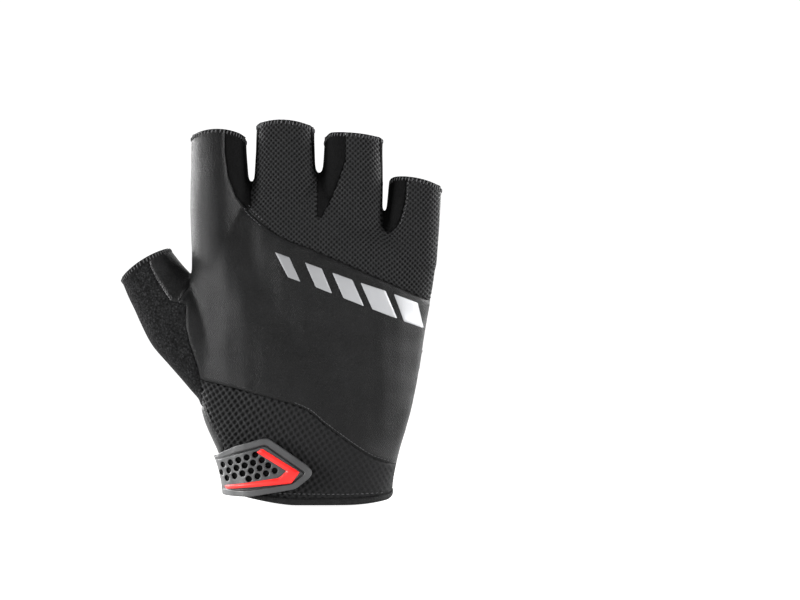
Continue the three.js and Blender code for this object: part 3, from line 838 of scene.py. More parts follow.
def object_place(tree):
    return tree.nodes.new("ShaderNodeTexCoord").outputs["Object"]


def object_x(tree):
    return add_node(tree, "ShaderNodeSeparateXYZ", Vector=object_place(tree)).outputs["X"]


def cloth_place(tree, scale=(1, 1, 1), turn=0):
    weave = tree.nodes.new("ShaderNodeAttribute")
    weave.attribute_name = "weave"
    mapping = add_node(tree, "ShaderNodeMapping", Vector=weave.outputs["Vector"], Scale=scale)
    mapping.inputs["Rotation"].default_value = (0, 0, math.radians(turn))
    return mapping.outputs["Vector"]


def noise(tree, place, scale, detail=3.0, roughness=0.5):
    made = add_node(tree, "ShaderNodeTexNoise", Vector=place, Scale=scale, Detail=detail)
    made.inputs["Roughness"].default_value = roughness
    return made.outputs["Fac"]


def cells(tree, place, scale, randomness=1.0, feature="F1"):
    made = tree.nodes.new("ShaderNodeTexVoronoi")
    made.feature = feature
    tree.links.new(place, made.inputs["Vector"])
    made.inputs["Scale"].default_value = scale
    made.inputs["Randomness"].default_value = randomness
    return made.outputs["Distance"]


def rescale(tree, value, low, high, to_low, to_high):
    made = add_node(tree, "ShaderNodeMapRange", Value=value)
    for socket, number in (("From Min", low), ("From Max", high), ("To Min", to_low), ("To Max", to_high)):
        made.inputs[socket].default_value = number
    return made.outputs["Result"]


def combine(tree, operation, *values):
    made = tree.nodes.new("ShaderNodeMath")
    made.operation = operation
    for slot, value in zip(made.inputs, values):
        if isinstance(value, bpy.types.NodeSocket):
            tree.links.new(value, slot)
        else:
            slot.default_value = value
    return made.outputs["Value"]


def colour_by(tree, shader, value, stops):
    """Colours the surface by a value, from (place, colour) stops."""
    ramp = tree.nodes.new("ShaderNodeValToRGB")
    elements = ramp.color_ramp.elements
    while len(elements) < len(stops):
        elements.new(0.5)
    for element, (place, colour) in zip(elements, stops):
        element.position = place
        element.color = (*colour, 1)
    tree.links.new(value, ramp.inputs["Fac"])
    tree.links.new(ramp.outputs["Color"], shader.inputs["Base Color"])


def roughness_by(tree, shader, value, low, high):
    tree.links.new(rescale(tree, value, 0, 1, low, high), shader.inputs["Roughness"])


def bump_by(tree, shader, heights):
    """Stacks bumps from (value, height in millimetres) pairs."""
    normal = None
    for value, height in heights:
        made = add_node(tree, "ShaderNodeBump", Height=value, Distance=height * MM)
        if normal:
            tree.links.new(normal, made.inputs["Normal"])
        normal = made.outputs["Normal"]
    tree.links.new(normal, shader.inputs["Normal"])


def grey(value):
    return (value, value * 1.01, value * 1.04)


# %% Cloth finishes
def stretch_cloth():
    tree, shader = new_finish("stretch cloth", grey(0.004), 0.45, Specular_IOR_Level=0.16)
    rib = tree.nodes.new("ShaderNodeTexWave")
    tree.links.new(cloth_place(tree, turn=38), rib.inputs["Vector"])
    rib.inputs["Scale"].default_value = 0.42
    rib.inputs["Distortion"].default_value = 0.6
    place = object_place(tree)
    grain = rescale(tree, noise(tree, place, 1900, 3, 0.6), 0.3, 0.7, 0, 1)
    patches = rescale(tree, noise(tree, place, 45, 2), 0.3, 0.7, 0, 0.3)
    tone = combine(tree, "MULTIPLY_ADD", grain, 0.7, patches)
    colour_by(tree, shader, tone, [(0.1, grey(0.0008)), (0.9, grey(0.0085))])
    roughness_by(tree, shader, grain, 0.33, 0.46)
    bump_by(tree, shader, [(rib.outputs["Fac"], 0.04), (grain, 0.08)])


KNITS = {
    # finish: distance between pits, height of a row, light tone, X between which the pits fade out
    "knuckle": (2.1, 1.05, 0.017, (40, 80)),
    "cuff": (2.9, 1.6, 0.018, (-25, 18)),
}
KNIT_DARK = 0.0005


def knit(name, pitch, row, light, fade):
    tree, shader = new_finish(name, grey(light), 0.7, Specular_IOR_Level=0.08)
    pits = cells(tree, cloth_place(tree, (1 / pitch, 1 / (2 * row), 1), 45), math.sqrt(2), 0.0)
    share = rescale(tree, object_x(tree), fade[0] * MM, fade[1] * MM, 0, 0.8)
    level = rescale(tree, pits, 0.12, 0.55, 0, 0.75)
    even = combine(tree, "MULTIPLY_ADD", share, combine(tree, "SUBTRACT", 0.42, level), level)
    fuzz = noise(tree, object_place(tree), 1700, 3, 0.65)
    tone = combine(tree, "MULTIPLY_ADD", rescale(tree, fuzz, 0.3, 0.7, 0, 1), 0.25, even)
    stops = [(0.1, grey(KNIT_DARK)), (0.5, grey(light * 0.4)), (0.95, grey(light))]
    colour_by(tree, shader, tone, stops)
    roughness_by(tree, shader, tone, 0.85, 0.5)
    bump_by(tree, shader, [(even, 0.22), (fuzz, 0.08)])


def terry():
    tree, shader = new_finish("terry knit", grey(0.008), 0.95, Specular_IOR_Level=0.07)
    place = object_place(tree)
    loops = cells(tree, place, 950)
    fuzz = noise(tree, place, 1500, 3, 0.65)
    between = rescale(tree, loops, 0.1, 0.8, 0.3, -0.1)
    tone = combine(tree, "MULTIPLY_ADD", rescale(tree, fuzz, 0.3, 0.7, 0.1, 1), 0.8, between)
    colour_by(tree, shader, tone, [(0.15, grey(0.001)), (0.6, grey(0.009)), (1, grey(0.026))])
    roughness_by(tree, shader, fuzz, 0.8, 1)
    bump_by(tree, shader, [(rescale(tree, loops, 0, 0.8, 1, 0), 0.3), (fuzz, 0.12)])


def leather():
    tree, shader = new_finish("palm leather", grey(0.006), 0.4, Specular_IOR_Level=0.22)
    place = object_place(tree)
    pebbles = cells(tree, place, 1400, 0.9)
    pores = noise(tree, place, 3200, 2)
    clouds = noise(tree, place, 60, 4, 0.6)
    tone = combine(tree, "MULTIPLY_ADD", pebbles, -0.35, rescale(tree, clouds, 0.25, 0.75, 0.25, 1))
    colour_by(tree, shader, tone, [(0.1, grey(0.0015)), (0.9, grey(0.012))])
    roughness_by(tree, shader, clouds, 0.3, 0.5)
    bump_by(tree, shader, [(rescale(tree, pebbles, 0.05, 0.7, 1, 0), 0.1), (pores, 0.03), (clouds, 0.35)])


def gusset():
    tree, shader = new_finish("gusset cloth", grey(0.003), 0.7, Specular_IOR_Level=0.05)
    weft = noise(tree, object_place(tree), 1800, 2)
    colour_by(tree, shader, weft, [(0.3, grey(0.001)), (0.7, grey(0.005))])
    roughness_by(tree, shader, weft, 0.75, 0.95)
    bump_by(tree, shader, [(weft, 0.08)])


def binding():
    tree, shader = new_finish("edge binding", grey(0.005), 0.7, Specular_IOR_Level=0.15)
    ribs = cells(tree, object_place(tree), 1500, 0.4)
    colour_by(tree, shader, ribs, [(0.1, grey(0.01)), (0.7, grey(0.003))])
    roughness_by(tree, shader, ribs, 0.6, 0.9)
    bump_by(tree, shader, [(rescale(tree, ribs, 0, 0.7, 1, 0), 0.12)])


def thread():
    tree, shader = new_finish("sewing thread", grey(0.04), 0.6, Specular_IOR_Level=0.3)
    ply = noise(tree, object_place(tree), 5000, 1)
    colour_by(tree, shader, ply, [(0.3, grey(0.02)), (0.7, grey(0.07))])
    roughness_by(tree, shader, ply, 0.5, 0.7)
    bump_by(tree, shader, [(ply, 0.04)])


# %% Rubber, gel and film finishes
def rubber():
    tree, shader = new_finish("tab rubber", grey(0.045), 0.4, Specular_IOR_Level=0.5)
    wear = noise(tree, object_place(tree), 120, 3)
    colour_by(tree, shader, wear, [(0.25, grey(0.024)), (0.75, grey(0.044))])
    roughness_by(tree, shader, wear, 0.33, 0.5)
    bump_by(tree, shader, [(noise(tree, object_place(tree), 2500, 2), 0.025)])


def red_rubber():
    tree, shader = new_finish("red rubber", (0.7, 0.015, 0.012), 0.35, Specular_IOR_Level=0.35)
    wear = noise(tree, object_place(tree), 160, 3)
    colour_by(tree, shader, wear, [(0.25, (0.6, 0.008, 0.008)), (0.75, (0.78, 0.025, 0.02))])
    roughness_by(tree, shader, wear, 0.28, 0.42)
    bump_by(tree, shader, [(noise(tree, object_place(tree), 2500, 2), 0.02)])


def gel(name, dark, light, roughness):
    tree, shader = new_finish(name, light, roughness, Specular_IOR_Level=0.06, Coat_Weight=0.25)
    shader.inputs["Coat Roughness"].default_value = 0.03
    depth = noise(tree, object_place(tree), 90, 2)
    colour_by(tree, shader, depth, [(0.3, dark), (0.7, light)])
    roughness_by(tree, shader, depth, roughness, roughness + 0.08)
    bump_by(tree, shader, [(depth, 0.25)])


SHEEN_LEFT, SHEEN_RIGHT = -14 * MM, 45 * MM  # painted sheen: the bars are painted lighter over this stretch, standing in for reflected light


def film():
    tree, shader = new_finish("reflective film", grey(0.6), 0.4, Metallic=0.25)
    beads = cells(tree, object_place(tree), 2200, 0.3)
    # Painted sheen: the film's colour grows lighter from left to right as the light it reflects does, not
    # because the film changes.
    painted_sheen = rescale(tree, object_x(tree), SHEEN_LEFT, SHEEN_RIGHT, 0, 0.9)
    tone = combine(tree, "MULTIPLY_ADD", beads, 0.12, painted_sheen)
    colour_by(tree, shader, tone, [(0, grey(0.17)), (0.5, grey(0.26)), (1, grey(0.36))])
    roughness_by(tree, shader, beads, 0.35, 0.55)
    bump_by(tree, shader, [(beads, 0.02)])


stretch_cloth()
for knitted, settings in KNITS.items():
    knit(knitted + " knit", *settings)
terry()
leather()
gusset()
binding()
thread()
rubber()
red_rubber()
gel("red gel", (0.55, 0.004, 0.002), (0.85, 0.014, 0.004), 0.1)
gel("black gel", (0.002, 0.002, 0.002), (0.006, 0.006, 0.007), 0.06)
film()
FINISHES = {
    # finish: material, slot of the record
    "stretch": ("stretch cloth", "stretch_cloth"),
    "knuckle": ("knuckle knit", "coarse_mesh"),
    "cuff": ("cuff knit", "coarse_mesh"),
    "terry": ("terry knit", "terry_knit"),
    "leather": ("palm leather", "leather"),
    "gusset": ("gusset cloth", "gusset_cloth"),
    "binding": ("edge binding", "binding"),
    "rubber": ("tab rubber", "tab_rubber"),
    "red rubber": ("red rubber", "red_rubber"),
    "red gel": ("red gel", "red_gel"),
    "black gel": ("black gel", "black_gel"),
    "film": ("reflective film", "reflective_film"),
}
print("finishes:", ", ".join(material.name for material in bpy.data.materials))

# %% [markdown]
# ## Finishing the panels
#
# A panel needs three things after it is cut: its edges turned in, the distances along the cloth
# that its weave follows, and for the two coarse knits the pits themselves, as real relief. The
# distances are summed over a height map of the glove's back, so the knit keeps its pitch where
# the back curves away.

# %% Turned edges
TURN_DEPTH = 0.5
TURN_WIDTH = 1.5
ON_SKIN = 0.04


def skin_gap(co):
    spot, normal, _, gap = skin_tree.find_nearest(co)
    return spot, normal, gap


def turn_in(bm, depth=TURN_DEPTH, width=TURN_WIDTH):
    """Sinks the outer face towards its edges, and marks its points in a layer."""
    layer = bm.verts.layers.float.new("outer")
    near = {}
    for vert in bm.verts:
        spot, normal, gap = skin_gap(vert.co)
        if gap < ON_SKIN:
            near[vert] = normal
            vert[layer] = 1
    corners = [edge for edge in bm.edges if edge.calc_face_angle(0) > 0.7]
    rim = {vert for edge in corners for vert in edge.verts if vert in near}
    tree = KDTree(len(rim))
    for number, vert in enumerate(rim):
        tree.insert(vert.co, number)
    tree.balance()
    moves = []
    for vert, normal in near.items():
        gap = tree.find(vert.co)[2] if rim else width
        if gap < width:
            moves.append((vert, normal * (depth * (1 - gap / width) ** 2)))
    for vert, move in moves:
        vert.co -= move
    return layer


# %% Distances along the cloth
GRID = 0.6
GRID_X = np.arange(-80, 56, GRID)
GRID_Z = np.arange(-1, 156, GRID)
STEEP = 0.8  # slopes count as no steeper than this
SMOOTHING = 30
WEB_X = (-23.8, 2.6, 29.1)  # between the fingers
FINGER_X = (-36.2, -10.4, 16.5, 40.2)  # their middle lines
OWN_LOW, OWN_HIGH = 88, 100  # over these heights each finger's cloth takes up its own middle


def weave_maps():
    """Distances across and up the back, summed over its slopes."""
    heights = np.zeros((len(GRID_Z), len(GRID_X)))
    for row, z in enumerate(GRID_Z):
        for column, x in enumerate(GRID_X):
            spot = skin_tree.ray_cast(Vector((x, -60, z)), Vector((0, 1, 0)))[0]
            heights[row, column] = spot.y if spot else np.nan
    sums = []
    for axis in (1, 0):
        slope = np.nan_to_num(np.diff(heights, axis=axis) / GRID)
        run = np.hypot(1, np.clip(slope, -STEEP, STEEP)) * GRID
        for _ in range(SMOOTHING):
            run[1:-1] = (run[:-2] + 2 * run[1:-1] + run[2:]) / 4
            run[:, 1:-1] = (run[:, :-2] + 2 * run[:, 1:-1] + run[:, 2:]) / 4
        sums.append(np.insert(np.cumsum(run, axis=axis), 0, 0, axis=axis))
    across, up = sums
    whole = across - across[:, [np.argmin(abs(GRID_X))]]
    own = np.empty_like(across)
    finger = np.searchsorted(WEB_X, GRID_X)
    for number, middle in enumerate(FINGER_X):
        columns = finger == number
        own[:, columns] = middle + across[:, columns] - across[:, [np.argmin(abs(GRID_X - middle))]]
    share = np.clip((GRID_Z - OWN_LOW) / (OWN_HIGH - OWN_LOW), 0, 1)[:, None]
    return whole * (1 - share) + own * share, up - up[[0]]


weave_across, weave_up = weave_maps()


def weave_at(points, turn=0):
    column = np.clip((points[:, 0] - GRID_X[0]) / GRID, 0, len(GRID_X) - 1.001)
    row = np.clip((points[:, 2] - GRID_Z[0]) / GRID, 0, len(GRID_Z) - 1.001)
    left, low = column.astype(int), row.astype(int)
    x_part, z_part = column - left, row - low
    found = []
    for grid in (weave_across, weave_up):
        lower = grid[low, left] * (1 - x_part) + grid[low, left + 1] * x_part
        upper = grid[low + 1, left] * (1 - x_part) + grid[low + 1, left + 1] * x_part
        found.append(lower * (1 - z_part) + upper * z_part)
    cos, sin = math.cos(turn), math.sin(turn)
    across, up = found
    return np.stack([across * cos - up * sin, across * sin + up * cos, np.zeros(len(points))], 1)


def store_weave(mesh, weave):
    attribute = mesh.attributes.new("weave", "FLOAT_VECTOR", "POINT")
    attribute.data.foreach_set("vector", weave.astype(np.float32).ravel())


# %% Knit relief
CUFF_TURN = math.radians(12)
KNUCKLE_DEPTH = 0.3
CUFF_DEPTHS = (0.5, 0.12)  # on the thumb side and where the pits have faded
PIT_RADIUS = 0.36


def pits(weave, pitch, row):
    """How far each place is from the nearest pit, as a share of half a pitch."""
    across, up = weave[:, 0] / pitch, weave[:, 1] / (2 * row)
    first, second = across - up, across + up
    return np.hypot(first - np.round(first), second - np.round(second)) / math.sqrt(2)


def knit_relief(points, weave, finish):
    pitch, row, _, fade = KNITS[finish]
    share = pits(weave, pitch, row)
    depth = KNUCKLE_DEPTH if finish == "knuckle" else np.interp(points[:, 0], fade, CUFF_DEPTHS)
    return -depth * np.clip(1 - share / PIT_RADIUS, 0, 1) ** 0.8


# %% From a cut panel to a piece
LIFT_TOP = 14


def lift_cuff(points):
    """The wrist edge rises towards both sides, more on the palm."""
    x, y, z = points.T
    left = 4.4 * np.clip((-6 - x) / 26, 0, 1) ** 1.4
    right = np.clip((x - 14) / 20, 0, 1) ** 2 * np.interp(y, [-8, 8], [2.2, 5])
    points[:, 2] += (left + right) * np.clip(1 - z / LIFT_TOP, 0, 1)


def place_piece(mesh, name, node, finish):
    """Brings a mesh to metres, gives it its finish and lets it stand for its CAD node."""
    mesh.transform(Matrix.Scale(MM, 4))
    mesh.shade_smooth()
    mesh.set_sharp_from_angle(angle=math.radians(55))
    material, slot = FINISHES[finish]
    mesh.materials.clear()
    mesh.materials.append(bpy.data.materials[material])
    piece = link(mesh, name)
    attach(piece, "root")
    if node:
        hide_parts(node)
    return piece


def finish_panel(node, mesh, finish):
    bm = bmesh.new()
    bm.from_mesh(mesh)
    layer = turn_in(bm)
    relief = finish in KNITS
    if relief:
        outer = [face for face in bm.faces if all(vert[layer] > 0.9 for vert in face.verts)]
        edges = list({edge for face in outer for edge in face.edges})
        bmesh.ops.subdivide_edges(bm, edges=edges, cuts=1, use_grid_fill=True, smooth=0)
    bm.to_mesh(mesh)
    bm.free()
    points = points_of(mesh)
    if relief or finish == "stretch":
        weave = weave_at(points, CUFF_TURN if finish == "cuff" else 0)
        store_weave(mesh, weave)
    if relief:
        flags = np.empty(len(points), np.float32)
        mesh.attributes["outer"].data.foreach_get("value", flags)
        sink = knit_relief(points, weave, finish) * (flags > 0.9)
        points += normals_of(mesh) * sink[:, None]
    mesh.attributes.remove(mesh.attributes["outer"])
    lift_cuff(points)
    set_points(mesh, points)
    place_piece(mesh, node + "_sewn", node, finish)
    print(node, len(mesh.polygons), "faces")


for node, (mesh, finish) in panels.items():
    finish_panel(node, mesh, finish)

# %% [markdown]
# ## The bound hem
#
# A strip folded over the wrist edge is a closed ring with a rounded section. Its section is a
# short row of offsets and heights, lofted round the wrist and bridged back to its start.

# %% Hem
HEM_FOLD = 0.35
HEM_ROUND = 0.9
FINE_ROWS = smooth_rows(PALM_ROWS, 240)


def wrist_row(height):
    """The palm's section at a height in millimetres."""
    share = height / KNUCKLE_HEIGHT
    return [share] + [np.interp(share, FINE_ROWS[:, 0], FINE_ROWS[:, column]) for column in range(1, 7)]


def hem_section():
    """The fold's rounded section, as offsets from the skin and heights."""
    inner_face = -WALL - HEM_FOLD
    corners = [(HEM_FOLD, 0), (HEM_FOLD, HEM_HEIGHT), (inner_face, HEM_HEIGHT), (inner_face, 0)]
    section = []
    for number, (offset, height) in enumerate(corners):
        x = offset - math.copysign(HEM_ROUND, offset)
        z = height + (HEM_ROUND if height == 0 else -HEM_ROUND)
        for step in range(5):
            turn = math.radians(270 + 90 * number) + math.radians(90) * step / 4
            section.append((x + HEM_ROUND * math.cos(turn), z + HEM_ROUND * math.sin(turn)))
    return section


def hem_ring():
    bm = bmesh.new()
    places = [palm_place(wrist_row(height), offset) for offset, height in hem_section()]
    loft(bm, places, 220, closed=True)
    mesh = solid_of(bm)
    points = points_of(mesh)
    lift_cuff(points)
    set_points(mesh, points)
    return mesh


place_piece(hem_ring(), "cuff_hem_folded", "cuff_hem", "binding")

# %% [markdown]
# ## Pads, gel inserts and reflective bars
#
# These lie on the glove and follow its form. A thin layer over the skin is cut with all their
# outlines at once, and each one is then raised to its own height: quickly at its edge, as foam
# under stitched leather and poured gel both do, and evenly over its middle.

# %% Laid pieces
LAYER_LOW, LAYER_HIGH = 0.1, 1.2
LAID = [
    # node, side, finish, height, width of its rounded edge, outline
    ("knuckle_pad_index", PALM, "leather", 1.3, 3.0, [
        (-34.2, 137), (-37, 138.6), (-40, 137), (-41.5, 132), (-39.6, 117.2), (-31.4, 116.4),
    ]),
    ("knuckle_pad_middle", PALM, "leather", 1.3, 3.4, [
        (-8, 114), (-7.4, 128), (-10, 130.6), (-14, 130), (-21, 115.6),
    ]),
    ("knuckle_pad_ring", PALM, "leather", 1.3, 3.4, [
        (19, 110.8), (17.2, 121.5), (12.4, 126), (7, 124), (1.6, 112.2),
    ]),
    ("knuckle_pad_little", PALM, "leather", 1.3, 3.4, [
        (43.2, 107), (42.4, 117.6), (38.5, 119.6), (34.9, 117.4), (28.6, 109.6),
    ]),
    ("grip_band", PALM, "leather", 2.1, 4.0, [
        (43.4, 95), (43.8, 103.9), (25.8, 107.6), (0, 109.4), (-17.1, 112.3), (-35, 114.4),
        (-36.4, 110.6), (-34.2, 107.6), (-23.5, 105.2), (-6.4, 100.5), (15, 97.8),
    ]),
    ("thumb_pad", PALM, "leather", 2.3, 6.0, THUMB_PAD),
    ("gel_insert_red", PALM, "red gel", 2.0, 1.8, [
        (39.6, 65), (42.4, 62.4), (41.2, 49.6), (38.8, 47.2), (2.6, 36.9), (0, 39.6), (2, 48.2), (4.4, 50),
    ]),
    ("gel_insert_black", PALM, "black gel", 2.0, 1.8, [
        (38.6, 39.6), (37.6, 32.8), (33, 25.6), (22, 22.4), (-0.8, 20.3), (-4.2, 22.3), (-3.6, 27.6),
        (-1.4, 29.8), (22, 34.4), (34.5, 39.2),
    ]),
]
BARS = [
    [(-13.8, 99.7), (-8.1, 97.6), (-3.7, 88), (-8.6, 89.8)],
    [(-1.8, 95.6), (4.7, 93.2), (8.8, 83.4), (2.4, 85.9)],
    [(8.9, 91.6), (16.7, 88.8), (21.4, 78.4), (13.4, 81.6)],
    [(20.2, 87.6), (29.9, 84.4), (34.5, 73.6), (24.8, 77.2)],
    [(33.4, 83.1), (42.6, 79.7), (45, 69.8), (37.6, 72.4)],
]
LAID += [(f"reflective_bar_{number}", BACK, "film", 0.3, 0.3, bar) for number, bar in enumerate(BARS, 1)]
CORNER_ROUND = {"leather": 6, "red gel": 2, "black gel": 2, "film": 0.3}


def round_corners(outline, radius, steps=5):
    """Cuts each corner of an outline back to a small curve."""
    line = [Vector(point) for point in outline]
    made = []
    for before, here, after in zip(line[-1:] + line[:-1], line, line[1:] + line[:1]):
        first = here + (before - here).normalized() * min(radius, (before - here).length / 2)
        last = here + (after - here).normalized() * min(radius, (after - here).length / 2)
        for step in range(steps + 1):
            part = step / steps
            made.append(tuple(first.lerp(here, part).lerp(here.lerp(last, part), part)))
    return np.array(made)


def skin_moved(offset):
    moved = skin.copy()
    set_points(moved, points_of(skin) + normals_of(skin) * offset)
    return moved


def split_islands(mesh):
    """Each connected part as a mesh of its own."""
    holder = link(mesh, "parts")
    for other in bpy.context.selected_objects:
        other.select_set(False)
    bpy.context.view_layer.objects.active = holder
    holder.select_set(True)
    bpy.ops.mesh.separate(type="LOOSE")
    holders = list(bpy.context.selected_objects)
    meshes = [part.data for part in holders]
    for part in holders:
        bpy.data.objects.remove(part)
    return meshes


def raise_laid(mesh, outline, height, edge, cuts):
    """Raises the top of a laid piece, rounded over its edge."""
    bm = bmesh.new()
    bm.from_mesh(mesh)
    middle = (LAYER_LOW + LAYER_HIGH) / 2
    if cuts:
        top = [face for face in bm.faces if all(skin_gap(vert.co)[2] > middle for vert in face.verts)]
        lines = list({line for face in top for line in face.edges})
        bmesh.ops.subdivide_edges(bm, edges=lines, cuts=cuts, use_grid_fill=True)
    verts = [vert for vert in bm.verts if skin_gap(vert.co)[2] > middle]
    places = np.array([(vert.co.x, vert.co.z) for vert in verts])
    gaps, _ = distance_to(places, closed(outline))
    for vert, gap in zip(verts, gaps):
        spot, normal, _ = skin_gap(vert.co)
        share = min(gap / edge, 1)
        rise = 0.14 + 0.86 * math.sqrt(1 - (1 - share) ** 2)
        vert.co = spot + normal * (LAYER_LOW + (height - LAYER_LOW) * rise)
    bm.to_mesh(mesh)
    bm.free()
    if edge > 1:
        points = points_of(mesh)
        gaps, _ = distance_to(points[:, [0, 2]], closed(outline))
        relax(mesh, 0.5 * np.clip(gaps / edge, 0, 1) * (gaps > 0.3), 14)


def lay_pieces():
    layer = carve(skin_moved(LAYER_HIGH), skin_moved(LAYER_LOW), "DIFFERENCE")
    bm = bmesh.new()
    outlines = {}
    for node, side, finish, _, _, points in LAID:
        outline = round_corners(points, CORNER_ROUND[finish])
        outlines[node] = outline
        prism(outline, 0, FAR * side, bm)
    parts = split_islands(carve(layer, solid_of(bm), "INTERSECT"))
    middles = [points_of(part).mean(axis=0) for part in parts]
    for node, side, finish, height, edge, _ in LAID:
        outline = outlines[node]
        goal = outline.mean(axis=0)
        fits = [
            (math.dist((x, z), goal) - 1e-4 * len(part.vertices), number)
            for number, ((x, y, z), part) in enumerate(zip(middles, parts)) if y * side > 0
        ]
        part = parts[min(fits)[1]]
        raise_laid(part, outline, height, edge, 1 if finish.endswith("gel") else 0)
        piece = place_piece(part, node + "_laid", node, finish)
        print(node, len(part.polygons), "faces")


lay_pieces()

# %% [markdown]
# ## The closing strap
#
# A cloth band goes round the thumb side of the wrist, and a moulded pull tab lies on its end:
# a plate with a raised rim, rows of round holes and a red arrow. The plate is built from wrist
# forms of growing size and cut through; a fine voxel remesh, relaxed a little, then rounds all
# its edges at once, as a moulding has them.

# %% Strap and tab
BAND_LOW, BAND_TOP = 0.4, 1.3
TAB_BASE = 1.6
TAB_FACE = 3.1
TAB_RIM = 3.75
TAB_REACH = 0.12 * PALM_DEPTH
TAB = [
    (-FAR, 3.4), (-23.4, 3.4), (-5.2, 6.7), (0.7, 11.5), (1.2, 13.6), (-0.9, 16), (-16.2, 26.4),
    (-18.4, 26.3), (-29.5, 23.2), (-36.4, 20), (-38.4, 18.2), (-FAR, 17),
]
TAB_FIELD = [
    (-FAR, 5.7), (-24, 5.8), (-6.4, 8.7), (-1.9, 12.3), (-1.7, 13.4), (-16.8, 23.9), (-18.4, 23.8),
    (-30, 20.4), (-38, 17.6), (-FAR, 16),
]
HOLE_FIELD = [(-36.4, 8.4), (-14, 11.8), (-11.4, 13.4), (-20.6, 20.4), (-27, 19.6), (-36, 16.8)]
CHEVRON = [
    (-18.6, 22.4), (-3.7, 13.3), (-7, 8.8), (-34.1, 6), (-34.8, 7.3), (-12, 11), (-8.9, 13.7), (-20.9, 21),
]
HOLE_RADIUS, HOLE_PITCH, HOLE_ROW_PITCH = 1.25, 3.6, 2.75
HOLE_SLOPE = math.radians(18)
HOLE_CENTRE = (-23, 13.6)
MOULDED_VOXEL = 0.2
BAND_VOXEL = 0.3
THIN_X = (-38, -34, -30, -26)
THIN_SHARES = (0.35, 0.5, 0.85, 1)


def wrist_solid(offset):
    bm = bmesh.new()
    rows = [wrist_row(height) for height in np.linspace(-5, 34, 22)]
    loft(bm, [palm_place(row, offset) for row in rows], 160)
    return solid_of(bm)


def wrist_layer(outline, low, high, from_y, to_y):
    shell = carve(wrist_solid(high), wrist_solid(low), "DIFFERENCE")
    return carve(shell, prism(outline, from_y, to_y), "INTERSECT")


def inside(outline, point):
    """Whether a point lies in an outline, from how often a line to its right crosses it."""
    crossings = 0
    for (x1, z1), (x2, z2) in zip(outline, outline[1:] + outline[:1]):
        if (z1 > point[1]) != (z2 > point[1]):
            crossings += point[0] < x1 + (point[1] - z1) / (z2 - z1) * (x2 - x1)
    return crossings % 2 == 1


def hole_cutters():
    bm = bmesh.new()
    cos, sin = math.cos(HOLE_SLOPE), math.sin(HOLE_SLOPE)
    count = 0
    for row in range(-3, 4):
        for step in range(-7, 8):
            along = (step + 0.5 * (row % 2)) * HOLE_PITCH
            x = HOLE_CENTRE[0] + along * cos - row * HOLE_ROW_PITCH * sin
            z = HOLE_CENTRE[1] + along * sin + row * HOLE_ROW_PITCH * cos
            if inside(HOLE_FIELD, (x, z)):
                turns = np.linspace(0, math.tau, 21)[:-1]
                circle = [(x + HOLE_RADIUS * math.cos(t), z + HOLE_RADIUS * math.sin(t)) for t in turns]
                prism(circle, -FAR, 0, bm)
                count += 1
    print("holes in the tab:", count)
    return solid_of(bm)


def thin_out(mesh):
    """Flattens what stands over the tab's base towards its wrapped end."""
    tree = tree_of(wrist_solid(TAB_BASE))
    points = points_of(mesh)
    for number, point in enumerate(points):
        if point[0] < THIN_X[-1]:
            spot, normal, _, gap = tree.find_nearest(point)
            if (Vector(point) - spot).dot(normal) > 0:
                keep = np.interp(point[0], THIN_X, THIN_SHARES)
                points[number] = spot + normal * (gap * keep)
    set_points(mesh, points)


def pull_tab():
    outline = round_corners(TAB, 1.6)
    field = round_corners(TAB_FIELD, 1.2)
    raised = wrist_layer(outline, TAB_BASE, TAB_RIM, -FAR, TAB_REACH)
    dish = carve(prism(field, -FAR, 0), wrist_solid(TAB_FACE), "DIFFERENCE")
    plate = carve(raised, dish, "DIFFERENCE")
    slot = carve(prism(field, -FAR, 0), prism(spread(field, -0.7), -FAR, 0), "DIFFERENCE")
    slot = carve(slot, wrist_solid(TAB_FACE - 0.7), "DIFFERENCE")
    plate = carve(plate, slot, "DIFFERENCE")
    plate = carve(plate, hole_cutters(), "DIFFERENCE")
    plate = remeshed(plate, MOULDED_VOXEL)
    relax(plate, 0.5, 2)
    thin_out(plate)
    return plate


def tab_arrow():
    outline = round_corners(CHEVRON, 0.5)
    arrow = remeshed(wrist_layer(outline, TAB_FACE + 0.05, TAB_FACE + 1, -FAR, 0), MOULDED_VOXEL)
    points = points_of(arrow)
    gaps, _ = distance_to(points[:, [0, 2]], closed(outline))
    points[:, 1] += np.clip(0.9 - gaps, 0, 0.9) * 0.55
    set_points(arrow, points)
    relax(arrow, 0.5, 1)
    thin_out(arrow)
    return arrow


BAND_PALM = [(-24, 4.4), (-24, 15.6), (-29, 18.4), (-38, 17), (-FAR, 15.6), (-FAR, 3.6)]
BAND_BACK = [(-6, 9), (-7, 15), (-20, 20.5), (-34, 18), (-38, 16.2), (-FAR, 15.6), (-FAR, 3.6), (-24, 5.4)]


def strap_band():
    on_palm = wrist_layer(round_corners(BAND_PALM, 1.5), BAND_LOW, BAND_TOP, 0, FAR)
    on_back = wrist_layer(round_corners(BAND_BACK, 1.5), BAND_LOW, BAND_TOP, -FAR, 0.01)
    whole = remeshed(carve(on_palm, on_back, "UNION"), BAND_VOXEL)
    relax(whole, 0.5, 2)
    return whole


place_piece(strap_band(), "strap_band_woven", "strap_band", "binding")
place_piece(pull_tab(), "strap_tab_moulded", "strap_tab", "rubber")
place_piece(tab_arrow(), "tab_chevron_moulded", "tab_chevron", "red rubber")

# %% [markdown]
# ## Stitches
#
# A row of stitches is what makes a cut edge look sewn. Each stitch is one small stretched
# sphere with two dozen faces, laid on the finished surface, along its line. The lines are
# the seams' own, moved a little to the side, and the overlocked edges at the open finger ends.

# %% The dressed surface
def dressed_surface():
    points, faces = [], []
    for piece in bpy.context.scene.objects:
        if piece.name.endswith(("_sewn", "_folded")):
            start = len(points)
            points += [vert.co / MM for vert in piece.data.vertices]
            faces += [[start + index for index in face.vertices] for face in piece.data.polygons]
    return BVHTree.FromPolygons(points, faces)


surface = dressed_surface()


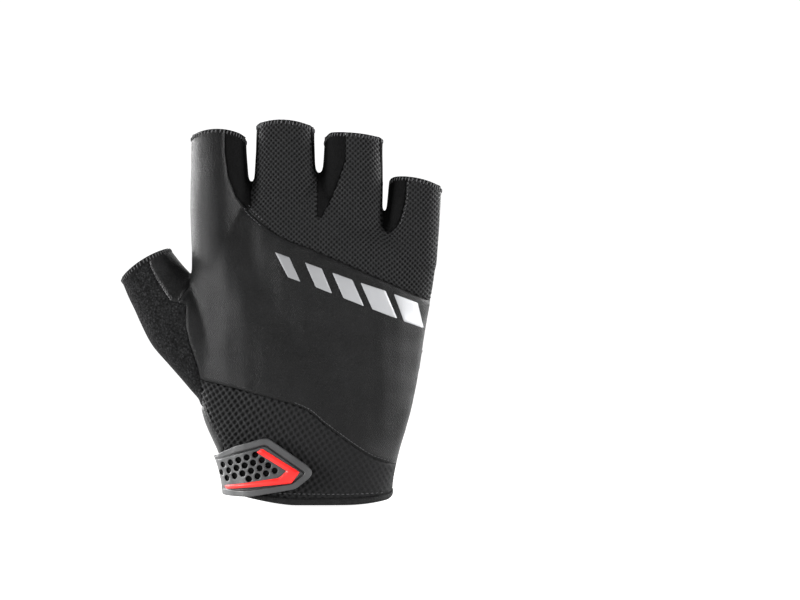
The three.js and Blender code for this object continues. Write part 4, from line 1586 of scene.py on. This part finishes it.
def add_stitch(bm, spot, normal, direction, length, width):
    side = normal.cross(direction).normalized()
    along = side.cross(normal).normalized()
    turn = Matrix((along, side, normal)).transposed().to_4x4()
    size = Matrix.Diagonal((length / 2, width / 2, width * 0.45, 1))
    place = Matrix.Translation(spot + normal * width * 0.2) @ turn @ size
    bmesh.ops.create_uvsphere(bm, u_segments=6, v_segments=4, radius=1, matrix=place)


def even_places(line, spacing):
    """Places at one distance from each other along a line."""
    steps = np.linalg.norm(np.diff(line, axis=0), axis=1)
    total = np.insert(np.cumsum(steps), 0, 0)
    wanted = np.arange(spacing / 2, total[-1], spacing)
    return [(np.interp(w, total, line[:, 0]), np.interp(w, total, line[:, 1])) for w in wanted]


def stitch_row(bm, line, side, spacing=2.3, length=1.8, width=0.55):
    places = even_places(line, spacing)
    for (x, z), (x2, z2) in zip(places, places[1:]):
        spot, normal, _, _ = surface.ray_cast(Vector((x, 60 * side, z)), Vector((0, -side, 0)))
        if spot and normal.y * side > 0.15:
            add_stitch(bm, spot, normal, Vector((x2 - x, 0, z2 - z)), length, width)


def beside(line, distance):
    """A line moved to its right, as seen along it."""
    run = np.gradient(line, axis=0)
    run /= np.maximum(np.linalg.norm(run, axis=1, keepdims=True), 1e-9)
    return line + np.stack([run[:, 1], -run[:, 0]], 1) * distance


def overlock(bm, centre, across, outward, half_width, half_depth, end, spacing=1.3):
    """Short slanting stitches over the edge of an open end."""
    count = int(math.pi * (half_width + half_depth) / spacing)
    for step in range(count):
        cos, sin = rounded(math.tau * step / count, TUBE_FULLNESS)
        rise = end_rise(cos, half_width, *end) - 1
        near = centre + across * (half_width * cos) + outward * rise + Vector((0, half_depth * sin, 0))
        radial = (across * (cos / half_width) + Vector((0, sin / half_depth, 0))).normalized()
        spot = surface.ray_cast(near + radial * 4, -radial, 6)[0] or near
        add_stitch(bm, spot, radial, outward + 0.3 * outward.cross(radial), 2, 0.5)


def stitches(name, build):
    bm = bmesh.new()
    build(bm)
    count = len(bm.faces)
    mesh = mesh_of(bm, name)
    mesh.transform(Matrix.Scale(MM, 4))
    mesh.shade_smooth()
    mesh.materials.append(bpy.data.materials["sewing thread"])
    piece = link(mesh, name)
    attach(piece, "root")
    print(name, count, "faces")


# %% Rows on the back
def back_rows(bm):
    knuckle = curve_through(KNUCKLE_SEAM[1:])
    stitch_row(bm, beside(knuckle[:10], -1.1), BACK, 1.5, 1.2, 0.36)
    stitch_row(bm, beside(knuckle[:10], 1.1), BACK, 1.5, 1.2, 0.36)
    cuff = curve_through(CUFF_SEAM)
    stitch_row(bm, beside(cuff[16:], -0.9), BACK, 1.35, 1.2, 0.3)
    gusset_line = curve_through([(38.9, 128), (38.4, 120.5), (36.8, 113.8), (34.8, 109.4)])
    stitch_row(bm, gusset_line, BACK, 1.5, 1.15, 0.34)
    stitch_row(bm, np.array([(-22, 5.7), (-10, 4.6), (14, 4.3), (31, 4.6)]), BACK, 1.9, 1.3, 0.34)


# %% Rows on the palm
def palm_rows(bm):
    seam = curve_through(PALM_SEAM)
    mound = curve_through(MOUND_SEAM)
    lines = [
        beside(seam, -1.2),
        curve_through(SECOND_PALM_SEAM),
        curve_through(UPPER_CHANNEL),
        curve_through(LOWER_CHANNEL),
        np.array([(44.8, 116), (44.8, 94.8)]),
        beside(mound, -1.2),
        beside(mound, 2.4),
        GEL_LINE,
    ]
    for line in lines:
        stitch_row(bm, line, PALM)
    stitch_row(bm, PAD_FRAME, PALM, 2.1, 1.6, 0.5)
    crotch = curve_through(CROTCH_ARC)
    stitch_row(bm, beside(crotch, 1.2), PALM, 2.1, 1.6, 0.5)
    for node, side, finish, _, _, points in LAID[:4]:
        outline = closed(spread(round_corners(points, CORNER_ROUND[finish]), 0.8))
        stitch_row(bm, outline, side, 1.9, 1.4, 0.34)
    stitch_row(bm, np.array([(-24, 6.2), (-8, 4.4), (14, 4.6), (31, 8.2)]), PALM, 2.1, 1.5, 0.38)


# %% Rows over the open ends
def end_rows(bm):
    for _, _, end_x, girth, _, length, *end in FINGERS:
        centre = Vector((end_x * PALM_WIDTH, FINGER_CURL, KNUCKLE_HEIGHT + length))
        half_width, half_depth = FINGER_WIDTH * girth / 2, FINGER_DEPTH * girth / 2
        overlock(bm, centre, Vector((1, 0, 0)), Vector((0, 0, 1)), half_width, half_depth, end)
    centre = THUMB_END + Vector((0, THUMB_ROWS[-1][3] * PALM_DEPTH, 0))
    overlock(bm, centre, THUMB_ACROSS, THUMB_OUT, THUMB_WIDTH / 2, THUMB_DEPTH / 2, THUMB_HEM)


stitches("back_stitches", back_rows)
stitches("palm_stitches", palm_rows)
stitches("end_stitches", end_rows)
